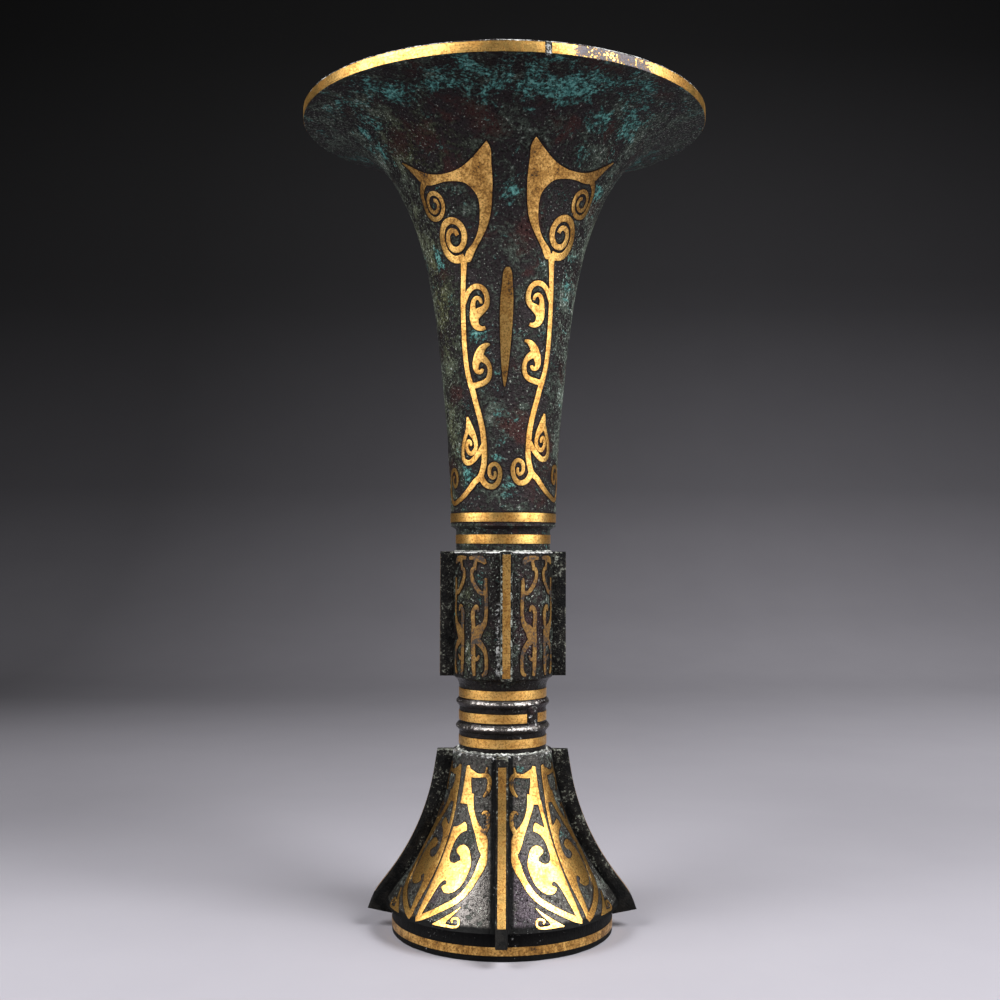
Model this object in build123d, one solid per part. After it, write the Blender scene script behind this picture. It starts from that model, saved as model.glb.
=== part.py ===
from build123d import *
import math
import os

# A bronze gu vessel with gold inlay, in millimetres, +Z up, standing on z = 0 with its front towards -Y.
# Angles are degrees round the axis: 0 is the front, and they grow towards +X.

# Heights of the sections, from the ground up
BASE_RING_HEIGHT = 10.0
SKIRT_HEIGHT = 55.0
RING_NECK_HEIGHT = 23.0
COVE_HEIGHT = 3.8
KNOP_HEIGHT = 45.6
NECK_HEIGHT = 9.6
TRUMPET_HEIGHT = 148.5
RIM_FACE = 4.5

# Outside radii
BASE_RING_RADIUS = 40.2
SKIRT_END_RADIUS = 42.6
SKIRT_TOP_RADIUS = 18.2
RING_NECK_RADIUS = 16.1
RIDGE_RADIUS = 17.6
KNOP_RADIUS = 18.5
NECK_RADIUS = 17.5
TRUMPET_FOOT_RADIUS = 19.4
RIM_RADIUS = 74.5

# Walls and the spigots that join the castings
TRUMPET_WALL = 3.0
RIM_LIP = 2.4
SKIRT_WALL = 3.0
BASE_RING_WALL = 2.8
STEP_BEVEL = 1.6
CUP_SPIGOT_RADIUS = 15.2
CUP_SPIGOT_LENGTH = 12.0
CUP_FLOOR = 3.0
CUP_BORE_RADIUS = 12.4
CUP_BORE_TAPER = 0.8
KNOP_BORE_RADIUS = 12.4
FOOT_SPIGOT_RADIUS = 14.4
FOOT_SPIGOT_LENGTH = 8.0
SPIGOT_CLEARANCE = 0.12
SPIGOT_END_GAP = 0.3
BEAD_SIZE = 0.9
BEAD_CLEARANCE = 0.03

# The two ridges of the ringed neck, measured up from its foot, and the rough bridge between them
RIDGE_HEIGHTS = (8.7, 17.6)
RIDGE_HALF_HEIGHT = 1.7
BRIDGE_START = 34.0
BRIDGE_END = 50.0
BRIDGE_RISE = 1.3

# Flanges
FLANGE_THICKNESS = 4.3
FLANGE_TONGUE = 1.3
FLANGE_CLEARANCE = 0.06
KNOP_FLANGE_REACH = 4.7
KNOP_TURN = 3.0
FOOT_FLANGE_REACH = 5.8
FOOT_FLANGE_TIP_HOOK = 0.8
FOOT_FLANGE_TIP_HEIGHT = 7.0
FOOT_FLANGE_ROOT_HEIGHT = 5.2
FOOT_FLANGE_TOP_FALL = 0.2
FOOT_TURN = -0.4

# Gold inlay
INLAY_DEPTH = 0.8
INLAY_CLEARANCE = 0.06
CUT_REACH = 1.0
MITRE_LIMIT = 0.2
STRIP_WIDTH = 2.8
KNOP_STRIP_MARGIN = 1.0
FOOT_STRIP_TOP_MARGIN = 2.7
FOOT_STRIP_BOTTOM = 12.2
BAND_WIDTH = 3.2
RIM_BAND_WIDTH = 3.4
RIM_BAND_DROP = 0.8
RIM_SEAM_START = 9.8
RIM_SEAM_END = 11.6
TRUMPET_BAND_RISE = 1.1
NECK_BAND_RISE = 2.9
RING_BAND_RISES = (2.1, 11.0, 19.3)
RING_SEAM_CLEARANCE = 1.5
BASE_BAND_RISE = 2.1
BASE_BAND_WIDTH = 2.9
LEAF_TURN = 3.0
LEAF_SLIP = 0.7
KNOP_PANEL_TURN = 1.4
FOOT_PANEL_TURN = -2.3

# Levels that follow from the heights
SKIRT_END = BASE_RING_HEIGHT
FOOT_TOP = SKIRT_END + SKIRT_HEIGHT
RING_NECK_TOP = FOOT_TOP + RING_NECK_HEIGHT
KNOP_BOTTOM = RING_NECK_TOP + COVE_HEIGHT
KNOP_TOP = KNOP_BOTTOM + KNOP_HEIGHT
TRUMPET_FOOT = KNOP_TOP + NECK_HEIGHT
RIM_LOW = TRUMPET_FOOT + TRUMPET_HEIGHT
RIM_TOP = RIM_LOW + RIM_FACE
QUARTERS = {"front": 0, "right": 90, "back": 180, "left": 270}
CORNERS = {"front_right": 45, "back_right": 135, "back_left": 225, "front_left": 315}

# Profiles as shares of the way out and of the way up or down, where 0 is the narrow end
TRUMPET_SHAPE = [(0, 0), (0.022, 0.189), (0.071, 0.391), (0.154, 0.613), (0.289, 0.781), (0.467, 0.897),
                 (0.706, 0.970), (1, 1)]
SKIRT_SHAPE = [(0, 0), (0.074, 0.2), (0.209, 0.409), (0.41, 0.609), (0.668, 0.791), (0.91, 0.936), (1, 1)]
PROFILE_STEPS = 14

# Sizes of the sections that the ornament below is drawn on
LEAF_DRAWN_HEIGHT = 148.5
KNOP_DRAWN_HEIGHT = 45.6
FOOT_DRAWN_HEIGHT = 65.0

# Half a leaf of the trumpet. Strokes are (degrees from the leaf's axis, height above the trumpet's foot, width).
LEAF_HORN = [(11.3, 131.2), (13.5, 129.6), (16, 128.3), (21, 125.8), (28, 123.7), (36, 123), (44, 123.5), (51, 125.2),
             (58, 128), (63.5, 130.3), (59, 126.3), (55, 122.6), (50, 120.8), (38, 120.6), (30, 120.1), (25, 119.2),
             (21.5, 117.3), (19, 115), (18, 112.3), (18.3, 108.5), (19.5, 105), (21.7, 102), (25, 99.5), (30, 97.2),
             (33, 94.5), (29, 93.4), (25.3, 95.6), (21, 99), (16.5, 102.5), (13.3, 105.8), (11, 110.5), (10, 115),
             (9.5, 121), (9.6, 126), (10.2, 130)]
LEAF_STEM = [(32.5, 95.5, 2.8), (34.0, 91.3, 2.2), (35.2, 87.5, 1.95), (36.8, 82.3, 1.95), (38, 76.5, 1.95),
             (38.8, 70, 1.95), (39, 64.5, 1.95), (38.4, 59, 1.95), (37, 54.5, 1.95), (34.8, 51, 2.1),
             (32.5, 48, 2.1), (30, 44, 2), (27, 39.8, 2), (24.5, 35.5, 2), (23, 31.5, 2), (22.5, 27.5, 2),
             (22.6, 24, 2), (24, 21, 2), (27.5, 17.6, 2)]
LEAF_HOOK = [(37, 79, 1.6), (35, 80.8, 1.7), (32, 83, 1.7), (28.5, 84.4, 1.75), (24.2, 84.9, 1.8), (20, 84.2, 1.8),
             (17, 82.2, 1.8), (16.3, 79.8, 1.8), (17.3, 78, 2), (20, 76.8, 2.3), (23.5, 75.9, 3), (27, 74.6, 3.4)]
LEAF_HOOK_COMMA = [(18.5, 70.4, 1.2), (22.5, 70.2, 1.7), (26.3, 71.2, 2.5), (28, 73.6, 3.3), (28.5, 76.2, 2.6),
                   (28.5, 78.5, 1.8), (27, 80.3, 1.5), (24, 80.9, 1.3), (21.8, 80.1, 1.2), (21.4, 78.9, 0.9)]
LEAF_BARB = [(24.5, 60.3, 3), (19.5, 59, 2.2), (16, 57, 1.6), (15.5, 54.4, 1.6), (17.5, 52.2, 1.7), (22, 51, 1.9),
             (27, 50.5, 2), (32.5, 50.3, 2), (36, 51.5, 2)]
LEAF_BARB_COMMA = [(15, 64.6, 0.7), (19.5, 64, 1.8), (24, 61.9, 3), (27.5, 58.9, 2.9), (28.5, 56.4, 2.1),
                   (26.7, 55, 1.5), (23.7, 55, 1.4), (22, 56, 1)]
LEAF_DROP = [(40.3, 39.3, 0.7), (39.3, 37, 2.2), (37.7, 34.8, 3), (34.5, 32.8, 2.3), (32, 30.6, 1.6),
             (31.5, 28.6, 1.5), (33.8, 26.9, 1.5), (38, 26.2, 1.5), (41.8, 27.4, 1.45), (42.3, 29.5, 1.4),
             (39.9, 30.7, 1.3), (37.6, 30, 1.2), (37.9, 28.9, 0.9)]
LEAF_DROP_ARM = [(39.5, 35.5, 2), (44, 32.3, 1.5), (47.3, 29.3, 1.45), (48.6, 26.5, 1.5), (47.8, 24.3, 1.7),
                 (44.5, 23.2, 1.9), (39.5, 23, 1.9), (34, 24.2, 1.9), (29, 26, 1.9), (23.5, 28.8, 1.9)]
LEAF_FOOT_CURL = [(26.5, 18, 2), (23.5, 15.8, 2), (19, 14.5, 1.9), (13.5, 14.3, 1.8), (9, 15.6, 1.6), (6.6, 18.2, 1.5),
                  (7.5, 20.9, 1.4), (11.5, 22.3, 1.4), (15.5, 21.8, 1.4), (17.5, 19.9, 1.3), (16.3, 17.9, 1.2),
                  (13.5, 17.3, 1.1), (11.3, 18.4, 1), (12, 19.7, 0.8)]
LEAF_LEG = [(25, 19.5, 2), (28, 17.6, 2.1), (33, 16.2, 2), (38, 14.5, 2), (43, 12.8, 1.9), (48, 11.4, 1.9),
            (53, 10.3, 1.8), (59, 9.3, 1.7), (65, 8.6, 1.6), (71, 8.8, 1.5), (76, 10.8, 1.4), (77.5, 14, 1.4),
            (75, 17.8, 1.4), (69.5, 20.5, 1.4), (63.5, 20.6, 1.4), (59.8, 18.4, 1.4), (60.5, 15.8, 1.3),
            (64.5, 14.6, 1.2), (68, 16, 1.1), (67.5, 18, 1), (65, 18.2, 0.8)]
LEAF_SPINE = [(-0.3, 90.5, 0.9), (-0.3, 89.3, 2.4), (-0.4, 86.5, 3.4), (-0.6, 81, 4.4), (-0.9, 76, 4.6),
              (-1.2, 70, 4.3), (-1.6, 63, 3.5), (-1.9, 57, 2.6), (-2.1, 52, 1.4), (-2.2, 49, 0.4)]
# Spirals: centre, start angle, turn, outer and inner radius, wide and narrow end, and how much taller than wide
LEAF_MAIN_SPIRAL = ((38.6, 102.2), -80, 600, 6.4, 1.6, 2.5, 1.6, 1.15)
LEAF_MAIN_LEAD = [(32.5, 95.2, 2.8), (36, 94.8, 2.7)]
LEAF_OUTER_SPIRAL = ((49.4, 114.3), 20, -640, 5.5, 1.4, 1.7, 1.1, 1.0)
LEAF_LOOP = [(50, 122.3, 2.2), (54.5, 120.8, 2.2), (57.6, 118.2, 1.8)]

# Half a panel of the foot, from the panel's axis and from the ground. One half has lost its link.
UNLINKED = "front_left_right"
FOOT_CREST = [(6.3, 61, 1.2), (7.8, 58.5, 2.6), (8.2, 55.5, 3.1), (9.2, 52, 4), (9.9, 48, 5)]
FOOT_TOP_BAR = [(8, 59.2, 2.2), (14, 58.3, 2.3), (19, 58, 1.5), (25, 58.1, 1.3), (30.5, 58.2, 1.5), (33.2, 57.1, 1.5),
                (33.7, 55, 1.5), (32.7, 53.2, 1.4), (30.5, 51.9, 1.2), (28.2, 51, 0.6)]
FOOT_TICK = [(28.8, 58, 1.2), (30.2, 61, 0.4)]
FOOT_BORDER = [(13.2, 51.5, 3.2), (16.3, 47.3, 2.3), (20, 44.2, 1.9), (24, 41.5, 2.2), (28.5, 39, 3.2),
               (31.5, 36.5, 3.7), (33, 34.3, 2.9), (34, 32.8, 2.2), (33.6, 30.5, 2.9), (32.2, 28, 2.8),
               (30, 25.4, 2.2), (27.2, 22.3, 2.2), (23, 19.2, 2), (17, 16.6, 1.9), (11, 14.3, 1.8), (5.4, 12.3, 1.8),
               (1.9, 11.2, 1.4)]
FOOT_LINK = [(4.8, 49, 1.6), (3.6, 44, 1.5), (2.9, 39.5, 1.4)]
FOOT_LOWER_HOOK = [(30.5, 38.5, 2), (34.2, 41, 1.5), (34.8, 43.5, 1.4), (33.9, 45.3, 1.3), (31.5, 46, 1.1),
                   (28.5, 45.3, 0.6)]
FOOT_COMMA = [(1.6, 11.4), (1.4, 40), (4.5, 40.2), (8.5, 41), (13, 42.2), (15.3, 41.2), (16.3, 39.5), (13, 38.9),
              (9.8, 37.6), (7.5, 35.7), (6.6, 33), (6.8, 31), (8.2, 29.6), (11.5, 29), (14.5, 29.4), (17, 30.2),
              (16.2, 31.2), (14, 31.9), (12, 32.6), (11.4, 33.4), (13.4, 34.5), (17.5, 34.9), (21.5, 33.8),
              (24.2, 31.5), (25.5, 28.7), (24.5, 26), (22.3, 23), (19, 21), (15, 20.2), (11.5, 20.6), (9.5, 21.6),
              (10.5, 22.2), (12.2, 22.5), (11.8, 23.3), (10, 23.7), (8, 22.8), (6.6, 20.8), (5.6, 17.5), (4.7, 14.5),
              (4.2, 12.4)]
FOOT_WAVE = [(12.3, 10.9), (16, 12.6), (20, 14.4), (25.7, 17.1), (23, 14.9), (20.9, 13.4), (19.6, 12.2), (20, 10.9)]
FOOT_WAVE_CURL = [(17.5, 11.4, 0.9), (20.5, 11.3, 0.8), (23.8, 11.2, 0.7), (26.3, 11.9, 0.7), (26.1, 13.1, 0.7),
                  (23.9, 13.7, 0.7), (22.3, 13, 0.6), (23.2, 12.4, 0.5)]

# Half a panel of the knop, from the panel's axis and above the knop's lower edge
KNOP_TOP_BAR = [(2.4, 43.2, 1.1), (8, 43.4, 1.5), (14, 43.1, 2.1), (20, 42.6, 2.1), (23.3, 41.2, 1)]
KNOP_LINK = [(12, 43, 1.3), (9.5, 39, 1.3)]
KNOP_RING = [(24, 31, 1.4), (19, 30.8, 1.5), (13, 32.4, 1.5), (7.4, 35.2, 1.5), (5.8, 37.7, 1.4), (8, 39.4, 1.4),
             (12, 39.4, 1)]
KNOP_OUTER_STRIP = [(24.2, 36.2, 0.9), (23.8, 32.5, 1.4), (24.6, 28.2, 1.3), (24.7, 24.2, 1.3), (24, 21.4, 1.4),
                    (21, 19.2, 2.2), (16, 17.6, 3.4), (12.5, 15.2, 3.6), (9.5, 13.5, 2.8)]
KNOP_INNER_STRIP = [(15, 24.2, 0.8), (12.5, 26, 1.3), (9.6, 25, 1.6), (8.4, 20.2, 1.6), (8.2, 14.2, 1.8),
                    (8.6, 8.2, 1.7), (9, 3.6, 1.5), (10, 1.2, 1.1)]
KNOP_LOWER_STRIP = [(13, 14, 2.6), (20, 11.8, 1.9), (24, 9.3, 1.4), (25, 6.2, 1.3), (24.7, 3.4, 1.3),
                    (22.5, 1.9, 1.3), (19.8, 1.6, 0.9)]
KNOP_BARB = [(9, 7.4, 1.5), (13, 7.1, 1.2), (16, 8.6, 0.6)]


def profile_curve(shape, narrow, wide):
    """Straight stretches along a smooth shape, between its narrow and its wide (radius, height) end."""
    across = wide[0] - narrow[0]
    along = wide[1] - narrow[1]
    smooth = Spline(*[(narrow[0] + out * across, narrow[1] + up * along) for out, up in shape])
    return Polyline(*[smooth @ (step / PROFILE_STEPS) for step in range(PROFILE_STEPS + 1)])


def offset_points(curve, count, distance):
    """Evenly spaced points beside a curve, at a distance to the left of its direction."""
    points = []
    for step in range(1, count):
        place = curve.position_at(step / count)
        way = curve.tangent_at(step / count)
        points.append((place.X - way.Y * distance, place.Y + way.X * distance))
    return points


def radius_finder(curve):
    """Function that gives a profile's radius at a height."""
    samples = sorted((curve.position_at(step / 160) for step in range(161)), key=lambda place: place.Y)

    def radius(z):
        z = min(max(z, samples[0].Y), samples[-1].Y)
        upper = next(k for k in range(1, len(samples)) if samples[k].Y >= z)
        low, high = samples[upper - 1], samples[upper]
        return low.X + (high.X - low.X) * (z - low.Y) / (high.Y - low.Y)

    return radius


def turned(edges):
    """Solid of revolution about Z of a closed outline of (radius, height) edges."""
    return revolve(Plane.XZ * make_face(edges), axis=Axis.Z)


def ring(inner, outer, low, high, start=0.0, sweep=360.0):
    """Ring of rectangular section, or the part of it that starts at an angle and sweeps on from there."""
    box = Plane.XZ * Pos((inner + outer) / 2, (low + high) / 2) * Rectangle(outer - inner, high - low)
    return Rot(0, 0, start - 90) * revolve(box, axis=Axis.Z, revolution_arc=sweep)


def skin(inside, depth, reach):
    """Layer of a turned body between a depth below its surface and a reach above it."""
    return revolve(Plane.XZ * (Pos(reach, 0) * inside - Pos(-depth, 0) * inside), axis=Axis.Z)


def core(inside, depth):
    """Solid core of a turned body, up to a depth below its surface."""
    box = inside.bounding_box()
    beyond_axis = Pos(0, box.min.Y) * Rectangle(2 * box.max.X, box.size.Y, align=(Align.MIN, Align.MIN))
    moved = Pos(-depth, 0) * inside
    if depth < 0:
        moved += inside
    return revolve(Plane.XZ * (moved & beyond_axis), axis=Axis.Z)


class Panel:
    """Patch of a turned surface that ornament is drawn on, in degrees from its axis and millimetres up."""

    def __init__(self, radius, bottom, stretch, middle):
        self.radius = radius
        self.bottom = bottom
        self.stretch = stretch
        self.middle = middle

    def level(self, height):
        return self.bottom + height * self.stretch

    def moved(self, angle, height, across, up):
        """A drawn point moved by millimetres along the surface."""
        turn = math.degrees(across / self.radius(self.level(height)))
        return angle + turn, height + up / self.stretch

    def flat(self, point):
        """A drawn point seen square on, from in front of the panel's middle."""
        z = self.level(point[1])
        return self.radius(z) * math.sin(math.radians(point[0] - self.middle)), z

    def between(self, first, second):
        """Millimetres across and up from one drawn point to another."""
        radius = self.radius(self.level((first[1] + second[1]) / 2))
        return math.radians(second[0] - first[0]) * radius, (second[1] - first[1]) * self.stretch

    def run(self, points):
        return Polyline(*[self.flat(point) for point in points])

    def stroke(self, points, grow):
        """Face of one stroke, widened all round by a little."""
        left, right = [], []
        last = len(points) - 1
        for k, (angle, height, width) in enumerate(points):
            across, up = self.between(points[max(k - 1, 0)], points[min(k + 1, last)])
            length = math.hypot(across, up)
            across, up = across / length, up / length
            ahead = grow if k == last else -grow if k == 0 else 0
            half = width / 2 + grow
            left.append(self.moved(angle, height, across * ahead - up * half, up * ahead + across * half))
            right.append(self.moved(angle, height, across * ahead + up * half, up * ahead - across * half))
        return make_face(self.run(left + right[::-1] + left[:1]))

    def outline(self, corners, grow):
        """Face inside a closed run of corners, widened all round by a little."""
        steps = [self.between(corner, corners[(k + 1) % len(corners)]) for k, corner in enumerate(corners)]
        spots = [self.between(corners[0], corner) for corner in corners]
        swept = sum(spot[0] * step[1] - spot[1] * step[0] for spot, step in zip(spots, steps))
        outward = math.copysign(grow, swept)
        sides = [(up / math.hypot(across, up), -across / math.hypot(across, up)) for across, up in steps]
        moved = []
        for k, corner in enumerate(corners):
            across, up = sides[k - 1][0] + sides[k][0], sides[k - 1][1] + sides[k][1]
            mitre = outward * 2 / max(across ** 2 + up ** 2, MITRE_LIMIT)
            moved.append(self.moved(*corner, across * mitre, up * mitre))
        return make_face(self.run(moved + moved[:1]))

    def spiral(self, centre, start, turn, outer, inner, wide, narrow, tall):
        """Stroke points of a spiral, eight to a turn."""
        count = max(3, round(abs(turn) / 45))
        points = []
        for step in range(count + 1):
            share = step / count
            angle = math.radians(start + turn * share)
            reach = outer + (inner - outer) * share
            place = self.moved(*centre, reach * math.cos(angle), reach * math.sin(angle) * tall)
            points.append((*place, wide + (narrow - wide) * share))
        return points

    def prism(self, faces, reach):
        """Faces joined and run outwards from the axis, square to the panel's middle."""
        turn = math.radians(self.middle)
        plane = Plane(origin=(0, 0, 0), x_dir=(math.cos(turn), math.sin(turn), 0),
                      z_dir=(math.sin(turn), -math.cos(turn), 0))
        return extrude(plane * (Sketch() + faces), amount=reach)


def half_leaf_faces(panel, grow):
    spiral = LEAF_MAIN_LEAD + panel.spiral(*LEAF_MAIN_SPIRAL)
    loop = LEAF_LOOP + panel.spiral(*LEAF_OUTER_SPIRAL)
    strokes = [LEAF_STEM, LEAF_HOOK, LEAF_HOOK_COMMA, LEAF_BARB, LEAF_BARB_COMMA, LEAF_DROP, LEAF_DROP_ARM,
               LEAF_FOOT_CURL, LEAF_LEG, spiral, loop]
    return [panel.outline(LEAF_HORN, grow)] + [panel.stroke(points, grow) for points in strokes]


def spine_faces(panel, grow):
    return [panel.stroke(LEAF_SPINE, grow)]


def unlinked_foot_faces(panel, grow):
    strokes = [FOOT_CREST, FOOT_TOP_BAR, FOOT_TICK, FOOT_BORDER, FOOT_LOWER_HOOK]
    return [panel.outline(FOOT_COMMA, grow)] + [panel.stroke(points, grow) for points in strokes]


def half_foot_faces(panel, grow):
    return unlinked_foot_faces(panel, grow) + [panel.stroke(FOOT_LINK, grow)]


def wave_faces(panel, grow):
    return [panel.outline(FOOT_WAVE, grow), panel.stroke(FOOT_WAVE_CURL, grow)]


def half_knop_faces(panel, grow):
    strokes = [KNOP_TOP_BAR, KNOP_LINK, KNOP_RING, KNOP_OUTER_STRIP, KNOP_INNER_STRIP, KNOP_LOWER_STRIP, KNOP_BARB]
    return [panel.stroke(points, grow) for points in strokes]


def inlay_and_bed(panel, faces, inside, reach):
    """An inlay that lies flush in a turned body, and the tool that cuts its bed."""
    gold = (panel.prism(faces(panel, 0), reach) & core(inside, 0)) - core(inside, INLAY_DEPTH)
    bed = panel.prism(faces(panel, INLAY_CLEARANCE), reach) & core(inside, -CUT_REACH)
    return gold, bed - core(inside, INLAY_DEPTH + INLAY_CLEARANCE)


def band_and_groove(radius, low, width, start=0.0, sweep=360.0, margin=0.0):
    """A gold band flush with a cylinder, and the tool that cuts its groove."""
    gold = ring(radius - INLAY_DEPTH, radius, low, low + width, start, sweep)
    groove = ring(radius - INLAY_DEPTH - INLAY_CLEARANCE, radius + CUT_REACH, low - INLAY_CLEARANCE,
                  low + width + INLAY_CLEARANCE, start - margin, sweep + 2 * margin)
    return gold, groove


def both_sides(shape, turn):
    """A half panel's shape and its mirror image, turned to a panel's axis."""
    return {"right": Rot(0, 0, turn) * shape, "left": Rot(0, 0, turn) * mirror(shape, about=Plane.YZ)}


def build_beaker(parts):
    """Trumpet, neck and the spigot with the cup's floor, with gold bands, leaves and spines."""
    curve = profile_curve(TRUMPET_SHAPE, (TRUMPET_FOOT_RADIUS, TRUMPET_FOOT), (RIM_RADIUS, RIM_LOW))
    spigot_end = KNOP_TOP - CUP_SPIGOT_LENGTH
    floor = spigot_end + CUP_FLOOR
    lip = (RIM_RADIUS - RIM_LIP, RIM_TOP)
    foot_bore = (CUP_BORE_RADIUS + CUP_BORE_TAPER, TRUMPET_FOOT)
    hollow = Polyline((CUP_BORE_RADIUS, floor), foot_bore, *offset_points(curve, PROFILE_STEPS, TRUMPET_WALL), lip)
    outer = Polyline((0, spigot_end), (CUP_SPIGOT_RADIUS, spigot_end), (CUP_SPIGOT_RADIUS, KNOP_TOP),
                     (NECK_RADIUS, KNOP_TOP), (NECK_RADIUS, TRUMPET_FOOT - STEP_BEVEL), curve @ 0)
    rim = Polyline(curve @ 1, (RIM_RADIUS, RIM_TOP), lip)
    closing = Polyline(hollow @ 0, (0, floor), (0, spigot_end))
    body = turned([outer, curve, rim, hollow, closing])

    inside = make_face([curve, Polyline(curve @ 1, (0, RIM_LOW), (0, TRUMPET_FOOT), curve @ 0)])
    radius = radius_finder(curve)
    stretch = TRUMPET_HEIGHT / LEAF_DRAWN_HEIGHT
    turns = {"front": LEAF_TURN, "back": LEAF_TURN + 180}
    cuts = []
    for side, slip in (("right", LEAF_SLIP), ("left", -LEAF_SLIP)):
        half = Panel(radius, TRUMPET_FOOT + slip, stretch, 42.0)
        scroll, bed = inlay_and_bed(half, half_leaf_faces, inside, RIM_RADIUS)
        for face, turn in turns.items():
            parts[f"leaf_scroll_{face}_{side}"] = both_sides(scroll, turn)[side]
            cuts.append(both_sides(bed, turn)[side])
    spine, bed = inlay_and_bed(Panel(radius, TRUMPET_FOOT, stretch, 0.0), spine_faces, inside, RIM_RADIUS)
    for face, turn in turns.items():
        parts[f"leaf_spine_{face}"] = Rot(0, 0, turn) * spine
        cuts.append(Rot(0, 0, turn) * bed)

    low = TRUMPET_FOOT + TRUMPET_BAND_RISE
    parts["trumpet_foot_band"] = skin(inside, INLAY_DEPTH, 0) & ring(0, RIM_RADIUS, low, low + BAND_WIDTH)
    cuts.append(skin(inside, INLAY_DEPTH + INLAY_CLEARANCE, CUT_REACH)
                & ring(0, RIM_RADIUS, low - INLAY_CLEARANCE, low + BAND_WIDTH + INLAY_CLEARANCE))
    parts["neck_band"], groove = band_and_groove(NECK_RADIUS, KNOP_TOP + NECK_BAND_RISE, BAND_WIDTH)
    cuts.append(groove)
    low = RIM_TOP - RIM_BAND_DROP - RIM_BAND_WIDTH
    parts["rim_band"], groove = band_and_groove(RIM_RADIUS, low, RIM_BAND_WIDTH, RIM_SEAM_END,
                                                360 - RIM_SEAM_END + RIM_SEAM_START, INLAY_CLEARANCE)
    cuts.append(groove)
    parts["beaker"] = body - cuts


def build_knop(parts):
    """Flanged middle section with the ringed neck below it, hollow, with a spigot into the foot."""
    spigot_end = FOOT_TOP - FOOT_SPIGOT_LENGTH
    socket_radius = CUP_SPIGOT_RADIUS + SPIGOT_CLEARANCE
    socket_floor = KNOP_TOP - CUP_SPIGOT_LENGTH - SPIGOT_END_GAP
    points = [(KNOP_BORE_RADIUS, socket_floor), (KNOP_BORE_RADIUS, spigot_end), (FOOT_SPIGOT_RADIUS, spigot_end),
              (FOOT_SPIGOT_RADIUS, FOOT_TOP), (RING_NECK_RADIUS, FOOT_TOP)]
    for rise in RIDGE_HEIGHTS:
        middle = FOOT_TOP + rise
        points += [(RING_NECK_RADIUS, middle - RIDGE_HALF_HEIGHT), (RIDGE_RADIUS, middle),
                   (RING_NECK_RADIUS, middle + RIDGE_HALF_HEIGHT)]
    points.append((RING_NECK_RADIUS, RING_NECK_TOP))
    lower = Polyline(*points)
    cove = TangentArc((RING_NECK_RADIUS, RING_NECK_TOP), (KNOP_RADIUS, KNOP_BOTTOM), tangent=(0, 1))
    upper = Polyline(cove @ 1, (KNOP_RADIUS, KNOP_TOP), (socket_radius, KNOP_TOP), (socket_radius, socket_floor),
                     (KNOP_BORE_RADIUS, socket_floor))
    body = turned([lower, cove, upper])
    bridge_low = FOOT_TOP + RIDGE_HEIGHTS[0]
    bridge_high = FOOT_TOP + RIDGE_HEIGHTS[1]
    body += ring(RING_NECK_RADIUS - INLAY_DEPTH, RING_NECK_RADIUS + BRIDGE_RISE, bridge_low, bridge_high,
                 BRIDGE_START, BRIDGE_END - BRIDGE_START)

    cuts = []
    seam_start = BRIDGE_END + RING_SEAM_CLEARANCE
    seam_sweep = 360 - (BRIDGE_END - BRIDGE_START) - 2 * RING_SEAM_CLEARANCE
    for name, rise in zip(("lower", "middle", "upper"), RING_BAND_RISES):
        arc = (seam_start, seam_sweep, INLAY_CLEARANCE) if name == "middle" else (0, 360, 0)
        parts[f"ring_band_{name}"], groove = band_and_groove(RING_NECK_RADIUS, FOOT_TOP + rise, BAND_WIDTH, *arc)
        cuts.append(groove)

    inside = Pos(KNOP_RADIUS / 2, (KNOP_BOTTOM + KNOP_TOP) / 2) * Rectangle(KNOP_RADIUS, KNOP_HEIGHT)
    panel = Panel(lambda z: KNOP_RADIUS, KNOP_BOTTOM, KNOP_HEIGHT / KNOP_DRAWN_HEIGHT, 15.0)
    gold, bed = inlay_and_bed(panel, half_knop_faces, inside, 2 * KNOP_RADIUS)
    for corner, turn in CORNERS.items():
        golds, beds = both_sides(gold, turn + KNOP_PANEL_TURN), both_sides(bed, turn + KNOP_PANEL_TURN)
        for side in golds:
            parts[f"knop_inlay_{corner}_{side}"] = golds[side]
            cuts.append(beds[side])

    root = KNOP_RADIUS - FLANGE_TONGUE
    tip = KNOP_RADIUS + KNOP_FLANGE_REACH
    plate = Pos((root + tip) / 2, (KNOP_BOTTOM + KNOP_TOP) / 2) * Rectangle(tip - root, KNOP_HEIGHT)
    low, high = KNOP_BOTTOM + KNOP_STRIP_MARGIN, KNOP_TOP - KNOP_STRIP_MARGIN
    flange, strip = flange_and_strip(plate, low, high, tip)
    slot_low = KNOP_BOTTOM - FLANGE_CLEARANCE
    slot_root = root - FLANGE_CLEARANCE
    slot_face = Rectangle(tip - slot_root, KNOP_TOP + CUT_REACH - slot_low, align=(Align.MIN, Align.MIN))
    slot = flange_plate(Pos(slot_root, slot_low) * slot_face, FLANGE_THICKNESS + 2 * FLANGE_CLEARANCE)
    for name, turn in QUARTERS.items():
        parts[f"knop_flange_{name}"] = Rot(0, 0, turn + KNOP_TURN) * flange
        parts[f"knop_flange_strip_{name}"] = Rot(0, 0, turn + KNOP_TURN) * strip
        cuts.append(Rot(0, 0, turn + KNOP_TURN) * slot)
    parts["knop"] = body - cuts


def flange_plate(face, thickness):
    """A flange at the front, from its (radius, height) face."""
    plate = extrude(Plane.XZ * face, amount=thickness / 2, both=True)
    return Rot(0, 0, -90) * plate


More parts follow.
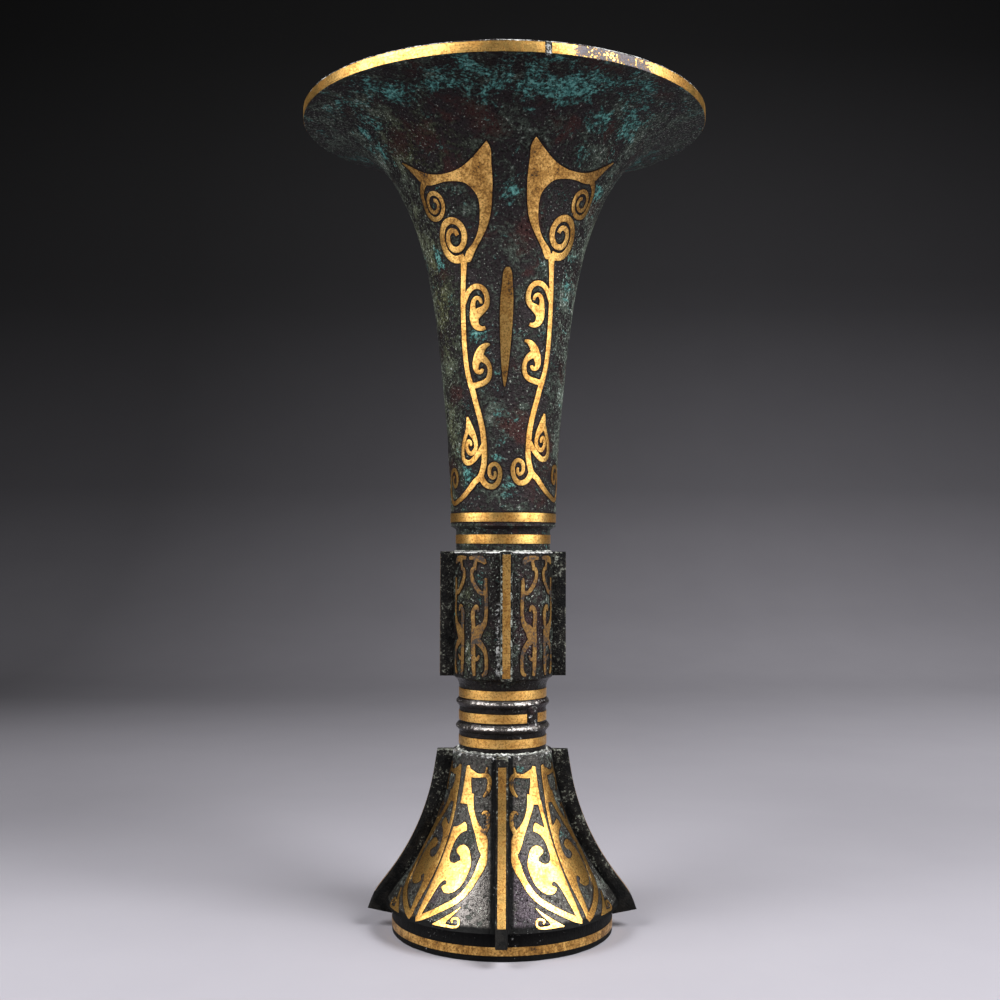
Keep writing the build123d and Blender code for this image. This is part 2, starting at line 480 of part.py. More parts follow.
def flange_and_strip(face, low, high, tip):
    """A flange with a gold strip let into its edge, and the strip."""
    span = Pos(tip / 2, (low + high) / 2) * Rectangle(2 * tip, high - low)
    grown = Pos(tip / 2, (low + high) / 2) * Rectangle(2 * tip, high - low + 2 * INLAY_CLEARANCE)
    strip = flange_plate((face - Pos(-INLAY_DEPTH, 0) * face) & span, STRIP_WIDTH)
    groove_face = (Pos(CUT_REACH, 0) * face - Pos(-INLAY_DEPTH - INLAY_CLEARANCE, 0) * face) & grown
    groove = flange_plate(groove_face, STRIP_WIDTH + 2 * INLAY_CLEARANCE)
    return flange_plate(face, FLANGE_THICKNESS) - groove, strip


def build_foot(parts):
    """Hollow flared skirt on its base ring, with four flanges and four panels of gold."""
    curve = profile_curve(SKIRT_SHAPE, (SKIRT_TOP_RADIUS, FOOT_TOP), (SKIRT_END_RADIUS, SKIRT_END))
    socket_radius = FOOT_SPIGOT_RADIUS + SPIGOT_CLEARANCE
    socket_end = FOOT_TOP - FOOT_SPIGOT_LENGTH - SPIGOT_END_GAP
    base_bore = BASE_RING_RADIUS - BASE_RING_WALL
    beside = offset_points(curve, PROFILE_STEPS, -SKIRT_WALL)
    inner = [point for point in beside if SKIRT_END < point[1] < socket_end - SKIRT_WALL and point[0] < base_bore]
    hollow = Polyline((socket_radius, socket_end), *inner, (base_bore, SKIRT_END))
    edge = Polyline(curve @ 1, (BASE_RING_RADIUS, SKIRT_END), (BASE_RING_RADIUS, 0), (base_bore, 0),
                    (base_bore, SKIRT_END))
    socket = Polyline((socket_radius, socket_end), (socket_radius, FOOT_TOP), curve @ 0)
    body = turned([curve, edge, hollow, socket])

    cuts = []
    parts["base_band"], groove = band_and_groove(BASE_RING_RADIUS, BASE_BAND_RISE, BASE_BAND_WIDTH)
    cuts.append(groove)
    inside = make_face([curve, Polyline(curve @ 1, (0, SKIRT_END), (0, FOOT_TOP), curve @ 0)])
    radius = radius_finder(curve)
    panel = Panel(radius, 0, FOOT_TOP / FOOT_DRAWN_HEIGHT, 18.0)
    linked, unlinked, wave = [inlay_and_bed(panel, faces, inside, 2 * SKIRT_END_RADIUS)
                              for faces in (half_foot_faces, unlinked_foot_faces, wave_faces)]
    for corner, turn in CORNERS.items():
        for side in ("right", "left"):
            place = f"{corner}_{side}"
            for name, pair in (("inlay", unlinked if place == UNLINKED else linked), ("wave", wave)):
                gold, bed = [both_sides(shape, turn + FOOT_PANEL_TURN)[side] for shape in pair]
                parts[f"foot_{name}_{place}"] = gold
                cuts.append(bed)

    outer = [(place[0] + FOOT_FLANGE_REACH, place[1]) for place in
             [tuple(curve @ (step / 8)) for step in range(1, 8)]]
    top = (SKIRT_TOP_RADIUS + FOOT_FLANGE_REACH, FOOT_TOP - FOOT_FLANGE_TOP_FALL)
    tip = (SKIRT_END_RADIUS + FOOT_FLANGE_REACH + FOOT_FLANGE_TIP_HOOK, FOOT_FLANGE_TIP_HEIGHT)
    edge = Spline(top, *[point for point in outer if point[1] < top[1] - FLANGE_TONGUE], tip)
    foot_face = base_ring_root(tip, edge)
    tongue = Pos(-FLANGE_TONGUE, 0) * inside
    face = make_face([edge, *foot_face]) - tongue
    high = FOOT_TOP - FOOT_STRIP_TOP_MARGIN
    flange, strip = flange_and_strip(face, FOOT_STRIP_BOTTOM, high, tip[0])
    slot_face = inside - Pos(-FLANGE_TONGUE - FLANGE_CLEARANCE, 0) * inside
    slot = flange_plate(slot_face, FLANGE_THICKNESS + 2 * FLANGE_CLEARANCE)
    for name, turn in QUARTERS.items():
        parts[f"foot_flange_{name}"] = Rot(0, 0, turn + FOOT_TURN) * flange
        parts[f"foot_flange_strip_{name}"] = Rot(0, 0, turn + FOOT_TURN) * strip
        cuts.append(Rot(0, 0, turn + FOOT_TURN) * slot)
    parts["foot"] = body - cuts


def base_ring_root(tip, edge):
    """Lower, inner and upper edges of a foot flange's outline."""
    root = BASE_RING_RADIUS + FLANGE_CLEARANCE
    return [Polyline(tip, (root, FOOT_FLANGE_ROOT_HEIGHT), (root, SKIRT_END), (0, SKIRT_END), (0, FOOT_TOP),
                     (SKIRT_TOP_RADIUS, FOOT_TOP), edge @ 0)]


def build_beads(parts):
    """Solder along the two ledges where the castings meet."""
    for name, radius, level in (("knop", NECK_RADIUS, KNOP_TOP), ("foot", RING_NECK_RADIUS, FOOT_TOP)):
        inner = radius + BEAD_CLEARANCE
        parts[f"{name}_solder_bead"] = turned([Polyline((inner, level), (inner + BEAD_SIZE, level),
                                                        (inner, level + BEAD_SIZE), (inner, level))])


def main():
    parts = {}
    build_beaker(parts)
    build_knop(parts)
    build_foot(parts)
    build_beads(parts)
    os.makedirs("parts", exist_ok=True)
    for name, shape in parts.items():
        export_step(shape, f"parts/{name}.step", write_pcurves=False)


main()
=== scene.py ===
import math

import bpy
import numpy as np
from mathutils import Matrix, Vector, noise


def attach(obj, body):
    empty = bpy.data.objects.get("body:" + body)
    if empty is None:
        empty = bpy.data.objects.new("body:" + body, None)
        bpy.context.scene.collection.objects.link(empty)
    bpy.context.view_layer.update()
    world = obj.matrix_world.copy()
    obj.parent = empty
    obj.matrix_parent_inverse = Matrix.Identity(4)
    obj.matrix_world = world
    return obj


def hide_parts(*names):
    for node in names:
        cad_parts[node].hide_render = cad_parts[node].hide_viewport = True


# Dresses a bronze gu vessel with gold inlay. Sizes are millimetres unless they say otherwise, and angles are
# degrees round the vessel's axis: 0 is the front, towards -Y, and they grow towards +X.

MM = 0.001

# Levels and radii of the vessel
SKIRT_END = 10.0
FOOT_TOP = 65.0
RING_NECK_TOP = 88.0
KNOP_BOTTOM = 91.8
KNOP_TOP = 137.4
TRUMPET_FOOT = 147.0
RIM_LOW = 295.5
RIM_TOP = 300.0
BASE_RING_RADIUS = 40.2
BASE_BORE = 37.4
SKIRT_END_RADIUS = 42.6
SKIRT_TOP_RADIUS = 18.2
RING_NECK_RADIUS = 16.1
RIDGE_RADIUS = 17.6
RIDGE_LEVELS = (73.7, 82.6)
RIDGE_HALF_HEIGHT = 1.7
KNOP_RADIUS = 18.5
NECK_RADIUS = 17.5
TRUMPET_FOOT_RADIUS = 19.4
RIM_RADIUS = 74.5
RIM_LIP = 2.4
STEP_BEVEL = 1.6

# Inside of the castings, and how they fit together
WALL = 3.0
CUP_SPIGOT_RADIUS = 15.2
CUP_SOCKET_DEPTH = 12.3
CUP_BORE = 12.4
CUP_FLOOR = 128.4
KNOP_BORE = 12.4
FOOT_SPIGOT_RADIUS = 14.4
FOOT_SPIGOT_LENGTH = 8.0
FOOT_SOCKET_DEPTH = 9.0
PLAY = 0.1
AXIS_RADIUS = 0.02

# Castings: points to a turn, depth of their pits, and how deep below the outside still counts as outside
COLUMNS = {"beaker": 420, "knop": 330, "foot": 420}
PITS = {"beaker": 0.22, "knop": 0.3, "foot": 0.16}
PIT_SIZE = 6.0
LEAST_PIT = 0.02
SKIN = 1.5

# Bridge of rough bronze between the ridges of the ringed neck
BRIDGE_MIDDLE = 42.0
BRIDGE_HALF_SPAN = 9.0
BRIDGE_RISE = 1.4
RIDGE_DENTS = 0.45

# Flanges
FLANGE_THICKNESS = 4.3
FLANGE_TONGUE = 1.0
FLANGE_BEVEL = 0.45
FLANGE_ROUGHNESS = 0.12
KNOP_FLANGE_REACH = 4.7
KNOP_TURN = 3.0
FOOT_FLANGE_REACH = 5.8
FOOT_FLANGE_TIP = (49.2, 7.0)
FOOT_FLANGE_ROOT = 5.2
FOOT_FLANGE_TOP = 64.8
FOOT_TURN = -0.4
FACES = {"front": 0, "back": 180}
QUARTERS = {"front": 0, "right": 90, "back": 180, "left": 270}
CORNERS = {"front_right": 45, "back_right": 135, "back_left": 225, "front_left": 315}

# Solder: points round each bead and across it, and the sizes of the two beads
BEAD_COLUMNS = 260
BEAD_ARC = 7
KNOP_BEAD = 0.9
FOOT_BEAD = 1.1

# Gold: how far it stands out, its softened edge, its skirt, the grid it is drawn on, the dark bed round it,
# the steps along strokes and bands, and a distance that stands for far away
GOLD_RISE = 0.05
GOLD_EDGE = 0.35
GOLD_EDGE_DROP = 0.02
GOLD_SINK = 0.45
GOLD_GRID = 0.22
GOLD_HALO = 1.3
STROKE_STEP = 0.35
BAND_STEP = 0.45
FAR = 9.0

# Strips, bands and motifs
STRIP_WIDTH = 2.8
STRIP_BEVEL = 0.3
STRIP_END = 1.0
FOOT_STRIP = (12.2, 62.3)
RIM_BAND = (295.8, 299.2)
RIM_SEAM = (9.8, 11.6)
RIM_BARE = (19.0, 41.0)
BASE_BAND = (2.1, 5.0)
NECK_BAND = (140.3, 143.5)
TRUMPET_BAND = (148.1, 151.3)
RING_BANDS = {"lower": (67.1, 70.3), "middle": (76.0, 79.2), "upper": (84.3, 87.5)}
MIDDLE_BAND_GAP = (32.5, 51.5)
LEAF_TURN = 3.0
LEAF_SLIP = 0.7
LEAF_MIDDLE = 42.0
KNOP_PANEL_TURN = 1.4
KNOP_PANEL_MIDDLE = 15.0
FOOT_PANEL_TURN = -2.3
FOOT_PANEL_MIDDLE = 18.0

# Wear of the gold, from 0 to 1
RIM_WEAR = 0.85
HORN_WEAR = 0.6
# The spines face the front; their browning is wear and painted shade, for the dark they reflect
SPINE_WEAR_AND_SHADE = 0.6
OUTER_PANEL_WEAR = 0.55
# The flange strips face outwards; their browning is wear and painted shade, for the dark they reflect
FLANGE_STRIP_WEAR_AND_SHADE = 0.3
BASE_BAND_WEAR = 0.6

# Colours as linear red, green and blue
# Pale metal of polished places, laid on the ridges' upper halves and a patch of each foot panel as painted
# highlight
POLISH_AND_HIGHLIGHT = (0.165, 0.150, 0.142)
FILM = (0.067, 0.086, 0.069)
OLIVE = (0.078, 0.082, 0.036)
TURQUOISE = [(0.035, 0.120, 0.112), (0.100, 0.270, 0.245)]
SPECKS = (0.34, 0.38, 0.33)
PIT_SHADE = (0.006, 0.005, 0.005)
GOLD_BED = (0.010, 0.008, 0.008)
# Near black, laid on as painted shade
PAINTED_SHADE = (0.002, 0.002, 0.002)
# Pale crust, also laid on as painted highlights and glints on edges and ridges
CRUST_AND_HIGHLIGHT = (0.48, 0.48, 0.47)
FLANGE_BLACK = [(0.002, 0.002, 0.002), (0.010, 0.009, 0.008)]
FLANGE_DUST = (0.15, 0.155, 0.125)
FLANGE_CRUST_AND_HIGHLIGHT = (0.23, 0.245, 0.215)
GOLD_TONES = [(0.88, 0.54, 0.165), (0.60, 0.31, 0.075), (0.38, 0.18, 0.045), (0.22, 0.10, 0.025)]
RUBBED_GOLD = (0.22, 0.110, 0.030)
LOST_GOLD = (0.040, 0.034, 0.030)
BARE_RIM = [(0.035, 0.030, 0.034), (0.135, 0.120, 0.130)]
SOLDER = [(0.055, 0.055, 0.05), (0.34, 0.35, 0.32), (0.72, 0.72, 0.69)]
FLOOR = [(0.262, 0.252, 0.280), (0.292, 0.282, 0.310)]
ROOM = (0.03, 0.03, 0.033)

# Bronzes: bare tone, tone of stained patches, amounts of grey-green film and of verdigris, polish, which
# makes the bare metal glossier, and streak, which brushes it up and down
BRONZES = {"trumpet_bronze": ((0.024, 0.020, 0.021), (0.044, 0.018, 0.016), 0.0, 0.005, 0.0, 0.0),
           "knop_bronze": ((0.020, 0.018, 0.017), (0.030, 0.016, 0.018), -0.03, -0.01, 0.16, 0.0),
           "foot_bronze": ((0.060, 0.056, 0.051), (0.040, 0.031, 0.040), -0.03, -0.06, 0.2, 1.2)}
# Golds: how much is rubbed brown or gone, depth of tone, and how metallic
GOLDS = {"gold_sheet": (0.0, 1.0, 1.0), "knop_gold": (0.16, 0.32, 0.45)}

# Profiles as shares of the way out and of the way up or down, where 0 is the narrow end
TRUMPET_SHAPE = [
    (0, 0), (0.022, 0.189), (0.071, 0.391), (0.154, 0.613), (0.289, 0.781), (0.467, 0.897), (0.706, 0.970),
    (1, 1)]
SKIRT_SHAPE = [(0, 0), (0.074, 0.2), (0.209, 0.409), (0.41, 0.609), (0.668, 0.791), (0.91, 0.936), (1, 1)]

# Half a leaf of the trumpet. Strokes are (degrees from the leaf's axis, height above the trumpet's foot,
# width), and outlines are closed runs of smooth sides that meet at corners.
LEAF_HORN = [
    [(11.3, 131.2), (16, 128.3), (21, 125.8), (28, 123.7), (36, 123), (44, 123.5), (51, 125.2), (58, 128),
     (63.5, 130.3)],
    [(63.5, 130.3), (59, 126.3), (55, 122.6)],
    [(55, 122.6), (50, 120.8), (38, 120.6), (30, 120.1), (25, 119.2), (21.5, 117.3), (19, 115),
     (18, 112.3), (18.3, 108.5), (19.5, 105), (21.7, 102), (25, 99.5), (30, 97.2)],
    [(30, 97.2), (33, 94.5)],
    [(33, 94.5), (29, 93.4), (25.3, 95.6), (21, 99), (16.5, 102.5), (13.3, 105.8), (11, 110.5), (10, 115),
     (9.5, 121), (9.6, 126), (10.2, 130), (11.3, 131.2)]]
LEAF_STEM = [
    (32.5, 95.5, 2.8), (34.0, 91.3, 2.2), (35.2, 87.5, 1.95), (36.8, 82.3, 1.95), (38, 76.5, 1.95),
    (38.8, 70, 1.95), (39, 64.5, 1.95), (38.4, 59, 1.95), (37, 54.5, 1.95), (34.8, 51, 2.1),
    (32.5, 48, 2.1), (30, 44, 2), (27, 39.8, 2), (24.5, 35.5, 2), (23, 31.5, 2), (22.5, 27.5, 2),
    (22.6, 24, 2), (24, 21, 2), (27.5, 17.6, 2)]
LEAF_HOOK = [
    (37, 79, 1.6), (35, 80.8, 1.7), (32, 83, 1.7), (28.5, 84.4, 1.75), (24.2, 84.9, 1.8), (20, 84.2, 1.8),
    (17, 82.2, 1.8), (16.3, 79.8, 1.8), (17.3, 78, 2), (20, 76.8, 2.3), (23.5, 75.9, 3), (27, 74.6, 3.4)]
LEAF_HOOK_COMMA = [
    (18.5, 70.4, 1.2), (22.5, 70.2, 1.7), (26.3, 71.2, 2.5), (28, 73.6, 3.3), (28.5, 76.2, 2.6),
    (28.5, 78.5, 1.8), (27, 80.3, 1.5), (24, 80.9, 1.3), (21.8, 80.1, 1.2), (21.4, 78.9, 0.9)]
LEAF_BARB = [
    (24.5, 60.3, 3), (19.5, 59, 2.2), (16, 57, 1.6), (15.5, 54.4, 1.6), (17.5, 52.2, 1.7), (22, 51, 1.9),
    (27, 50.5, 2), (32.5, 50.3, 2), (36, 51.5, 2)]
LEAF_BARB_COMMA = [
    (15, 64.6, 0.7), (19.5, 64, 1.8), (24, 61.9, 3), (27.5, 58.9, 2.9), (28.5, 56.4, 2.1), (26.7, 55, 1.5),
    (23.7, 55, 1.4), (22, 56, 1)]
LEAF_DROP = [
    (40.3, 39.3, 0.7), (39.3, 37, 2.2), (37.7, 34.8, 3), (34.5, 32.8, 2.3), (32, 30.6, 1.6),
    (31.5, 28.6, 1.5), (33.8, 26.9, 1.5), (38, 26.2, 1.5), (41.8, 27.4, 1.45), (42.3, 29.5, 1.4),
    (39.9, 30.7, 1.3), (37.6, 30, 1.2), (37.9, 28.9, 0.9)]
LEAF_DROP_ARM = [
    (39.5, 35.5, 2), (44, 32.3, 1.5), (47.3, 29.3, 1.45), (48.6, 26.5, 1.5), (47.8, 24.3, 1.7),
    (44.5, 23.2, 1.9), (39.5, 23, 1.9), (34, 24.2, 1.9), (29, 26, 1.9), (23.5, 28.8, 1.9)]
LEAF_FOOT_CURL = [
    (26.5, 18, 2), (23.5, 15.8, 2), (19, 14.5, 1.9), (13.5, 14.3, 1.8), (9, 15.6, 1.6), (6.6, 18.2, 1.5),
    (7.5, 20.9, 1.4), (11.5, 22.3, 1.4), (15.5, 21.8, 1.4), (17.5, 19.9, 1.3), (16.3, 17.9, 1.2),
    (13.5, 17.3, 1.1), (11.3, 18.4, 1), (12, 19.7, 0.8)]
LEAF_LEG = [
    (25, 19.5, 2), (28, 17.6, 2.1), (33, 16.2, 2), (38, 14.5, 2), (43, 12.8, 1.9), (48, 11.4, 1.9),
    (53, 10.3, 1.8), (59, 9.3, 1.7), (65, 8.6, 1.6), (71, 8.8, 1.5), (76, 10.8, 1.4), (77.5, 14, 1.4),
    (75, 17.8, 1.4), (69.5, 20.5, 1.4), (63.5, 20.6, 1.4), (59.8, 18.4, 1.4), (60.5, 15.8, 1.3),
    (64.5, 14.6, 1.2), (68, 16, 1.1), (67.5, 18, 1), (65, 18.2, 0.8)]
LEAF_SPINE = [
    (-0.3, 90.5, 0.9), (-0.3, 89.3, 2.4), (-0.4, 86.5, 3.4), (-0.6, 81, 4.4), (-0.9, 76, 4.6),
    (-1.2, 70, 4.3), (-1.6, 63, 3.5), (-1.9, 57, 2.6), (-2.1, 52, 1.4), (-2.2, 49, 0.4)]
# Spirals: centre, start angle, turn, outer and inner radius, wide and narrow end, and height against width
LEAF_MAIN_SPIRAL = ((38.6, 102.2), -80, 600, 6.4, 1.6, 2.5, 1.6, 1.15)
LEAF_MAIN_LEAD = [(32.5, 95.2, 2.8), (36, 94.8, 2.7)]
LEAF_OUTER_SPIRAL = ((49.4, 114.3), 20, -640, 5.5, 1.4, 1.7, 1.1, 1.0)
LEAF_LOOP = [(50, 122.3, 2.2), (54.5, 120.8, 2.2), (57.6, 118.2, 1.8)]

# Half a panel of the foot, from the panel's axis and from the ground. One half has lost its link.
UNLINKED = "front_left_right"
FOOT_CREST = [(6.3, 61, 1.2), (7.8, 58.5, 2.6), (8.2, 55.5, 3.1), (9.2, 52, 4), (9.9, 48, 5)]
FOOT_TOP_BAR = [
    (8, 59.2, 2.2), (14, 58.3, 2.3), (19, 58, 1.5), (25, 58.1, 1.3), (30.5, 58.2, 1.5), (33.2, 57.1, 1.5),
    (33.7, 55, 1.5), (32.7, 53.2, 1.4), (30.5, 51.9, 1.2), (28.2, 51, 0.6)]
FOOT_TICK = [(28.8, 58, 1.2), (30.2, 61, 0.4)]
FOOT_BORDER = [
    (13.2, 51.5, 3.2), (16.3, 47.3, 2.3), (20, 44.2, 1.9), (24, 41.5, 2.2), (28.5, 39, 3.2),
    (31.5, 36.5, 3.7), (33, 34.3, 2.9), (34, 32.8, 2.2), (33.6, 30.5, 2.9), (32.2, 28, 2.8),
    (30, 25.4, 2.2), (27.2, 22.3, 2.2), (23, 19.2, 2), (17, 16.6, 1.9), (11, 14.3, 1.8), (5.4, 12.3, 1.8),
    (1.9, 11.2, 1.4)]
FOOT_LINK = [(4.8, 49, 1.6), (3.6, 44, 1.5), (2.9, 39.5, 1.4)]
FOOT_LOWER_HOOK = [
    (30.5, 38.5, 2), (34.2, 41, 1.5), (34.8, 43.5, 1.4), (33.9, 45.3, 1.3), (31.5, 46, 1.1),
    (28.5, 45.3, 0.6)]
FOOT_COMMA = [
    [(1.6, 11.4), (1.4, 40)],
    [(1.4, 40), (4.5, 40.2), (8.5, 41), (13, 42.2)],
    [(13, 42.2), (15.3, 41.2), (16.3, 39.5)],
    [(16.3, 39.5), (13, 38.9), (9.8, 37.6), (7.5, 35.7), (6.6, 33), (6.8, 31), (8.2, 29.6), (11.5, 29),
     (14.5, 29.4), (17, 30.2)],
    [(17, 30.2), (16.2, 31.2), (14, 31.9), (12, 32.6), (11.4, 33.4)],
    [(11.4, 33.4), (13.4, 34.5), (17.5, 34.9), (21.5, 33.8), (24.2, 31.5), (25.5, 28.7), (24.5, 26),
     (22.3, 23), (19, 21), (15, 20.2), (11.5, 20.6), (9.5, 21.6)],
    [(9.5, 21.6), (10.5, 22.2), (12.2, 22.5)],
    [(12.2, 22.5), (11.8, 23.3), (10, 23.7), (8, 22.8), (6.6, 20.8), (5.6, 17.5), (4.7, 14.5), (4.2, 12.4)],
    [(4.2, 12.4), (1.6, 11.4)]]
FOOT_WAVE = [
    [(12.3, 10.9), (16, 12.6), (20, 14.4), (25.7, 17.1)],
    [(25.7, 17.1), (23, 14.9), (20.9, 13.4), (19.6, 12.2), (20, 10.9)],
    [(20, 10.9), (12.3, 10.9)]]
FOOT_WAVE_CURL = [
    (17.5, 11.4, 0.9), (20.5, 11.3, 0.8), (23.8, 11.2, 0.7), (26.3, 11.9, 0.7), (26.1, 13.1, 0.7),
    (23.9, 13.7, 0.7), (22.3, 13, 0.6), (23.2, 12.4, 0.5)]

# Half a panel of the knop, from the panel's axis and above the knop's lower edge
KNOP_TOP_BAR = [(2.4, 43.2, 1.1), (8, 43.4, 1.5), (14, 43.1, 2.1), (20, 42.6, 2.1), (23.3, 41.2, 1)]
KNOP_LINK = [(12, 43, 1.3), (9.5, 39, 1.3)]
KNOP_RING = [
    (24, 31, 1.4), (19, 30.8, 1.5), (13, 32.4, 1.5), (7.4, 35.2, 1.5), (5.8, 37.7, 1.4), (8, 39.4, 1.4),
    (12, 39.4, 1)]
KNOP_OUTER_STRIP = [
    (24.2, 36.2, 0.9), (23.8, 32.5, 1.4), (24.6, 28.2, 1.3), (24.7, 24.2, 1.3), (24, 21.4, 1.4),
    (21, 19.2, 2.2), (16, 17.6, 3.4), (12.5, 15.2, 3.6), (9.5, 13.5, 2.8)]
KNOP_INNER_STRIP = [
    (15, 24.2, 0.8), (12.5, 26, 1.3), (9.6, 25, 1.6), (8.4, 20.2, 1.6), (8.2, 14.2, 1.8), (8.6, 8.2, 1.7),
    (9, 3.6, 1.5), (10, 1.2, 1.1)]
KNOP_LOWER_STRIP = [
    (13, 14, 2.6), (20, 11.8, 1.9), (24, 9.3, 1.4), (25, 6.2, 1.3), (24.7, 3.4, 1.3), (22.5, 1.9, 1.3),
    (19.8, 1.6, 0.9)]
KNOP_BARB = [(9, 7.4, 1.5), (13, 7.1, 1.2), (16, 8.6, 0.6)]

# Patches of corrosion: degrees round, height, half-widths in degrees and in height, and strength
TURQUOISE_PATCHES = [
    (-14, 293, 18, 2.6, 1.0), (20, 291, 17, 4.0, 1.0), (58, 288, 13, 4.5, 0.9), (-64, 289, 12, 4.0, 0.7),
    (-25, 215, 9, 3.0, 1.0), (6, 159, 10, 4.0, 1.0), (-42, 164, 8, 3.5, 0.9), (60, 234, 7, 7.0, 0.8),
    (-56, 242, 5, 6.0, 0.8), (5, 262, 6, 4.5, 0.7), (0, 187, 10, 6.0, 0.6), (-6, 172, 8, 4.0, 0.7),
    (43, 275, 7, 4.0, 0.6), (-25, 157, 8, 3.0, 0.5), (66, 268, 6, 9.0, 0.6), (-27, 118, 10, 12.0, 0.5),
    (20, 59, 11, 3.0, 0.9), (56, 36, 6, 5.0, 0.6), (38, 9, 6, 3.0, 0.7), (0, 292.5, 60, 3.2, 0.8),
    (38, 286, 12, 6.0, 0.9), (-38, 292.5, 16, 3.0, 0.9), (-75, 285, 12, 6.0, 0.6)]
STAIN_PATCHES = [
    (18, 246, 13, 14.0, 1.0), (-8, 284, 20, 6.0, 0.8), (52, 176, 14, 9.0, 0.9), (62, 200, 12, 12.0, 0.8),
    (36, 156, 13, 5.0, 0.9), (-50, 200, 10, 6.0, 0.7), (-60, 281, 8, 5.0, 0.8), (48, 284, 8, 4.0, 0.8),
    (30, 283, 12, 4.0, 0.5), (14, 178, 12, 8.0, 0.8), (40, 114, 25, 22.0, 0.9), (45, 142, 25, 5.0, 0.8),
    (17, 20, 12, 20.0, 1.0), (70, 25, 14, 20.0, 0.7), (-38, 281, 14, 6.0, 0.9), (-22, 283, 12, 5.0, 0.7),
    (60, 281, 12, 5.0, 0.7)]
OLIVE_PATCHES = [
    (-62, 228, 18, 26.0, 1.0), (-66, 180, 18, 28.0, 0.7), (-45, 279, 22, 9.0, 0.9),
    (-75, 255, 18, 15.0, 0.7), (-35, 114, 25, 22.0, 0.8)]

# Camera, fitted to the photograph
FOCAL_PIXELS = 1257.2
IMAGE_PIXELS = 1000.0
SENSOR = 36.0
CAMERA_DISTANCE = 466.5
EYE_HEIGHT = 139.3
CAMERA_SIDE = -1.2
CAMERA_PITCH = 2.11
CAMERA_ROLL = 0.165

# Stage and lamps, in metres and watts
FLOOR_FRONT = -2.5
FLOOR_BACK = 0.8
FLOOR_HALF_WIDTH = 3.0
SWEEP_RADIUS = 0.7
WALL_TOP = 2.4
# Each lamp's place, height of its target on the axis, (width, height) and power
LAMPS = {"left_softbox": ((-0.86, -0.42, 0.62), 0.2, (1.0, 1.0), 12.0),
         "right_softbox": ((0.86, -0.42, 0.62), 0.2, (1.0, 1.0), 14.0),
         "upper_left_softbox": ((-0.66, -0.46, 1.0), 0.05, (0.5, 0.45), 11.0),
         "upper_right_softbox": ((0.66, -0.46, 1.0), 0.05, (0.5, 0.45), 19.0)}


def fade(value, start, end):
    """0 up to the start, 1 from the end on and an even rise between them. The end may be the lower one."""
    return np.clip((value - start) / (end - start), 0, 1)


def wrapped(angles):
    """Degrees brought between -180 and 180."""
    return (angles + 180) % 360 - 180


def around(angles, radius, height):
    """Places at some degrees round the axis, from their radii and heights."""
    turn = np.radians(angles)
    return np.stack((radius * np.sin(turn), -radius * np.cos(turn), height), axis=1)


def directions(line):
    """Unit directions along a line of points."""
    way = np.gradient(line, axis=0)
    return way / np.linalg.norm(way, axis=1)[:, None]


def smooth_line(points, count):
    """Evenly spread points on a smooth curve through the given ones, whose first two columns are a place."""
    points = np.array(points, float)
    last = len(points) - 1
    gaps = np.linalg.norm(np.diff(points[:, :2], axis=0), axis=1)
    knots = np.concatenate(([0.0], np.cumsum(gaps)))
    matrix = np.eye(last + 1)
    right = np.zeros_like(points)
    for k in range(1, last):
        matrix[k, k - 1:k + 2] = gaps[k - 1], 2 * (gaps[k - 1] + gaps[k]), gaps[k]
        right[k] = 6 * ((points[k + 1] - points[k]) / gaps[k] - (points[k] - points[k - 1]) / gaps[k - 1])
    bend = np.linalg.solve(matrix, right)
    along = np.linspace(0, knots[-1], count)
    k = np.clip(np.searchsorted(knots, along) - 1, 0, last - 1)
    after = ((along - knots[k]) / gaps[k])[:, None]
    before = 1 - after
    straight = before * points[k] + after * points[k + 1]
    bow = (before ** 3 - before) * bend[k] + (after ** 3 - after) * bend[k + 1]
    return straight + bow * gaps[k][:, None] ** 2 / 6


def spread(points, step):
    """A run of straight stretches, divided so that no stretch is longer than the step."""
    run = [np.array(points[0], float)]
    for start, end in zip(points[:-1], points[1:]):
        start, end = np.array(start, float), np.array(end, float)
        pieces = max(1, math.ceil(np.linalg.norm(end - start) / step))
        run += [start + (end - start) * k / pieces for k in range(1, pieces + 1)]
    return run


class Surface:
    """Outside of a turned body, with its radius and slope at each height."""

    def __init__(self, profile, bottom):
        order = np.argsort(profile[:, 1])
        self.heights = profile[order, 1]
        self.radii = profile[order, 0]
        self.slopes = np.gradient(self.radii, self.heights)
        self.bottom = bottom

    def radius(self, z):
        return np.interp(z, self.heights, self.radii)

    def points(self, angles, z, lift):
        """Places at some degrees round and at some heights, lifted off the surface along its normal."""
        slope = np.interp(z, self.heights, self.slopes)
        length = np.sqrt(1 + slope ** 2)
        return around(angles, self.radius(z) + lift / length, z - lift * slope / length)


def profile_points(shape, narrow, wide, count):
    """Smooth profile from its shares of the way between the narrow and the wide end."""
    narrow, wide = np.array(narrow), np.array(wide)
    return smooth_line(narrow + np.array(shape, float) * (wide - narrow), count)


TRUMPET_PROFILE = profile_points(TRUMPET_SHAPE, (TRUMPET_FOOT_RADIUS, TRUMPET_FOOT),
                                 (RIM_RADIUS, RIM_LOW), 260)
SKIRT_PROFILE = profile_points(SKIRT_SHAPE, (SKIRT_TOP_RADIUS, FOOT_TOP), (SKIRT_END_RADIUS, SKIRT_END), 120)
TRUMPET = Surface(TRUMPET_PROFILE, TRUMPET_FOOT)
SKIRT = Surface(SKIRT_PROFILE, 0.0)
KNOP = Surface(np.array([(KNOP_RADIUS, KNOP_BOTTOM), (KNOP_RADIUS, KNOP_TOP)]), KNOP_BOTTOM)


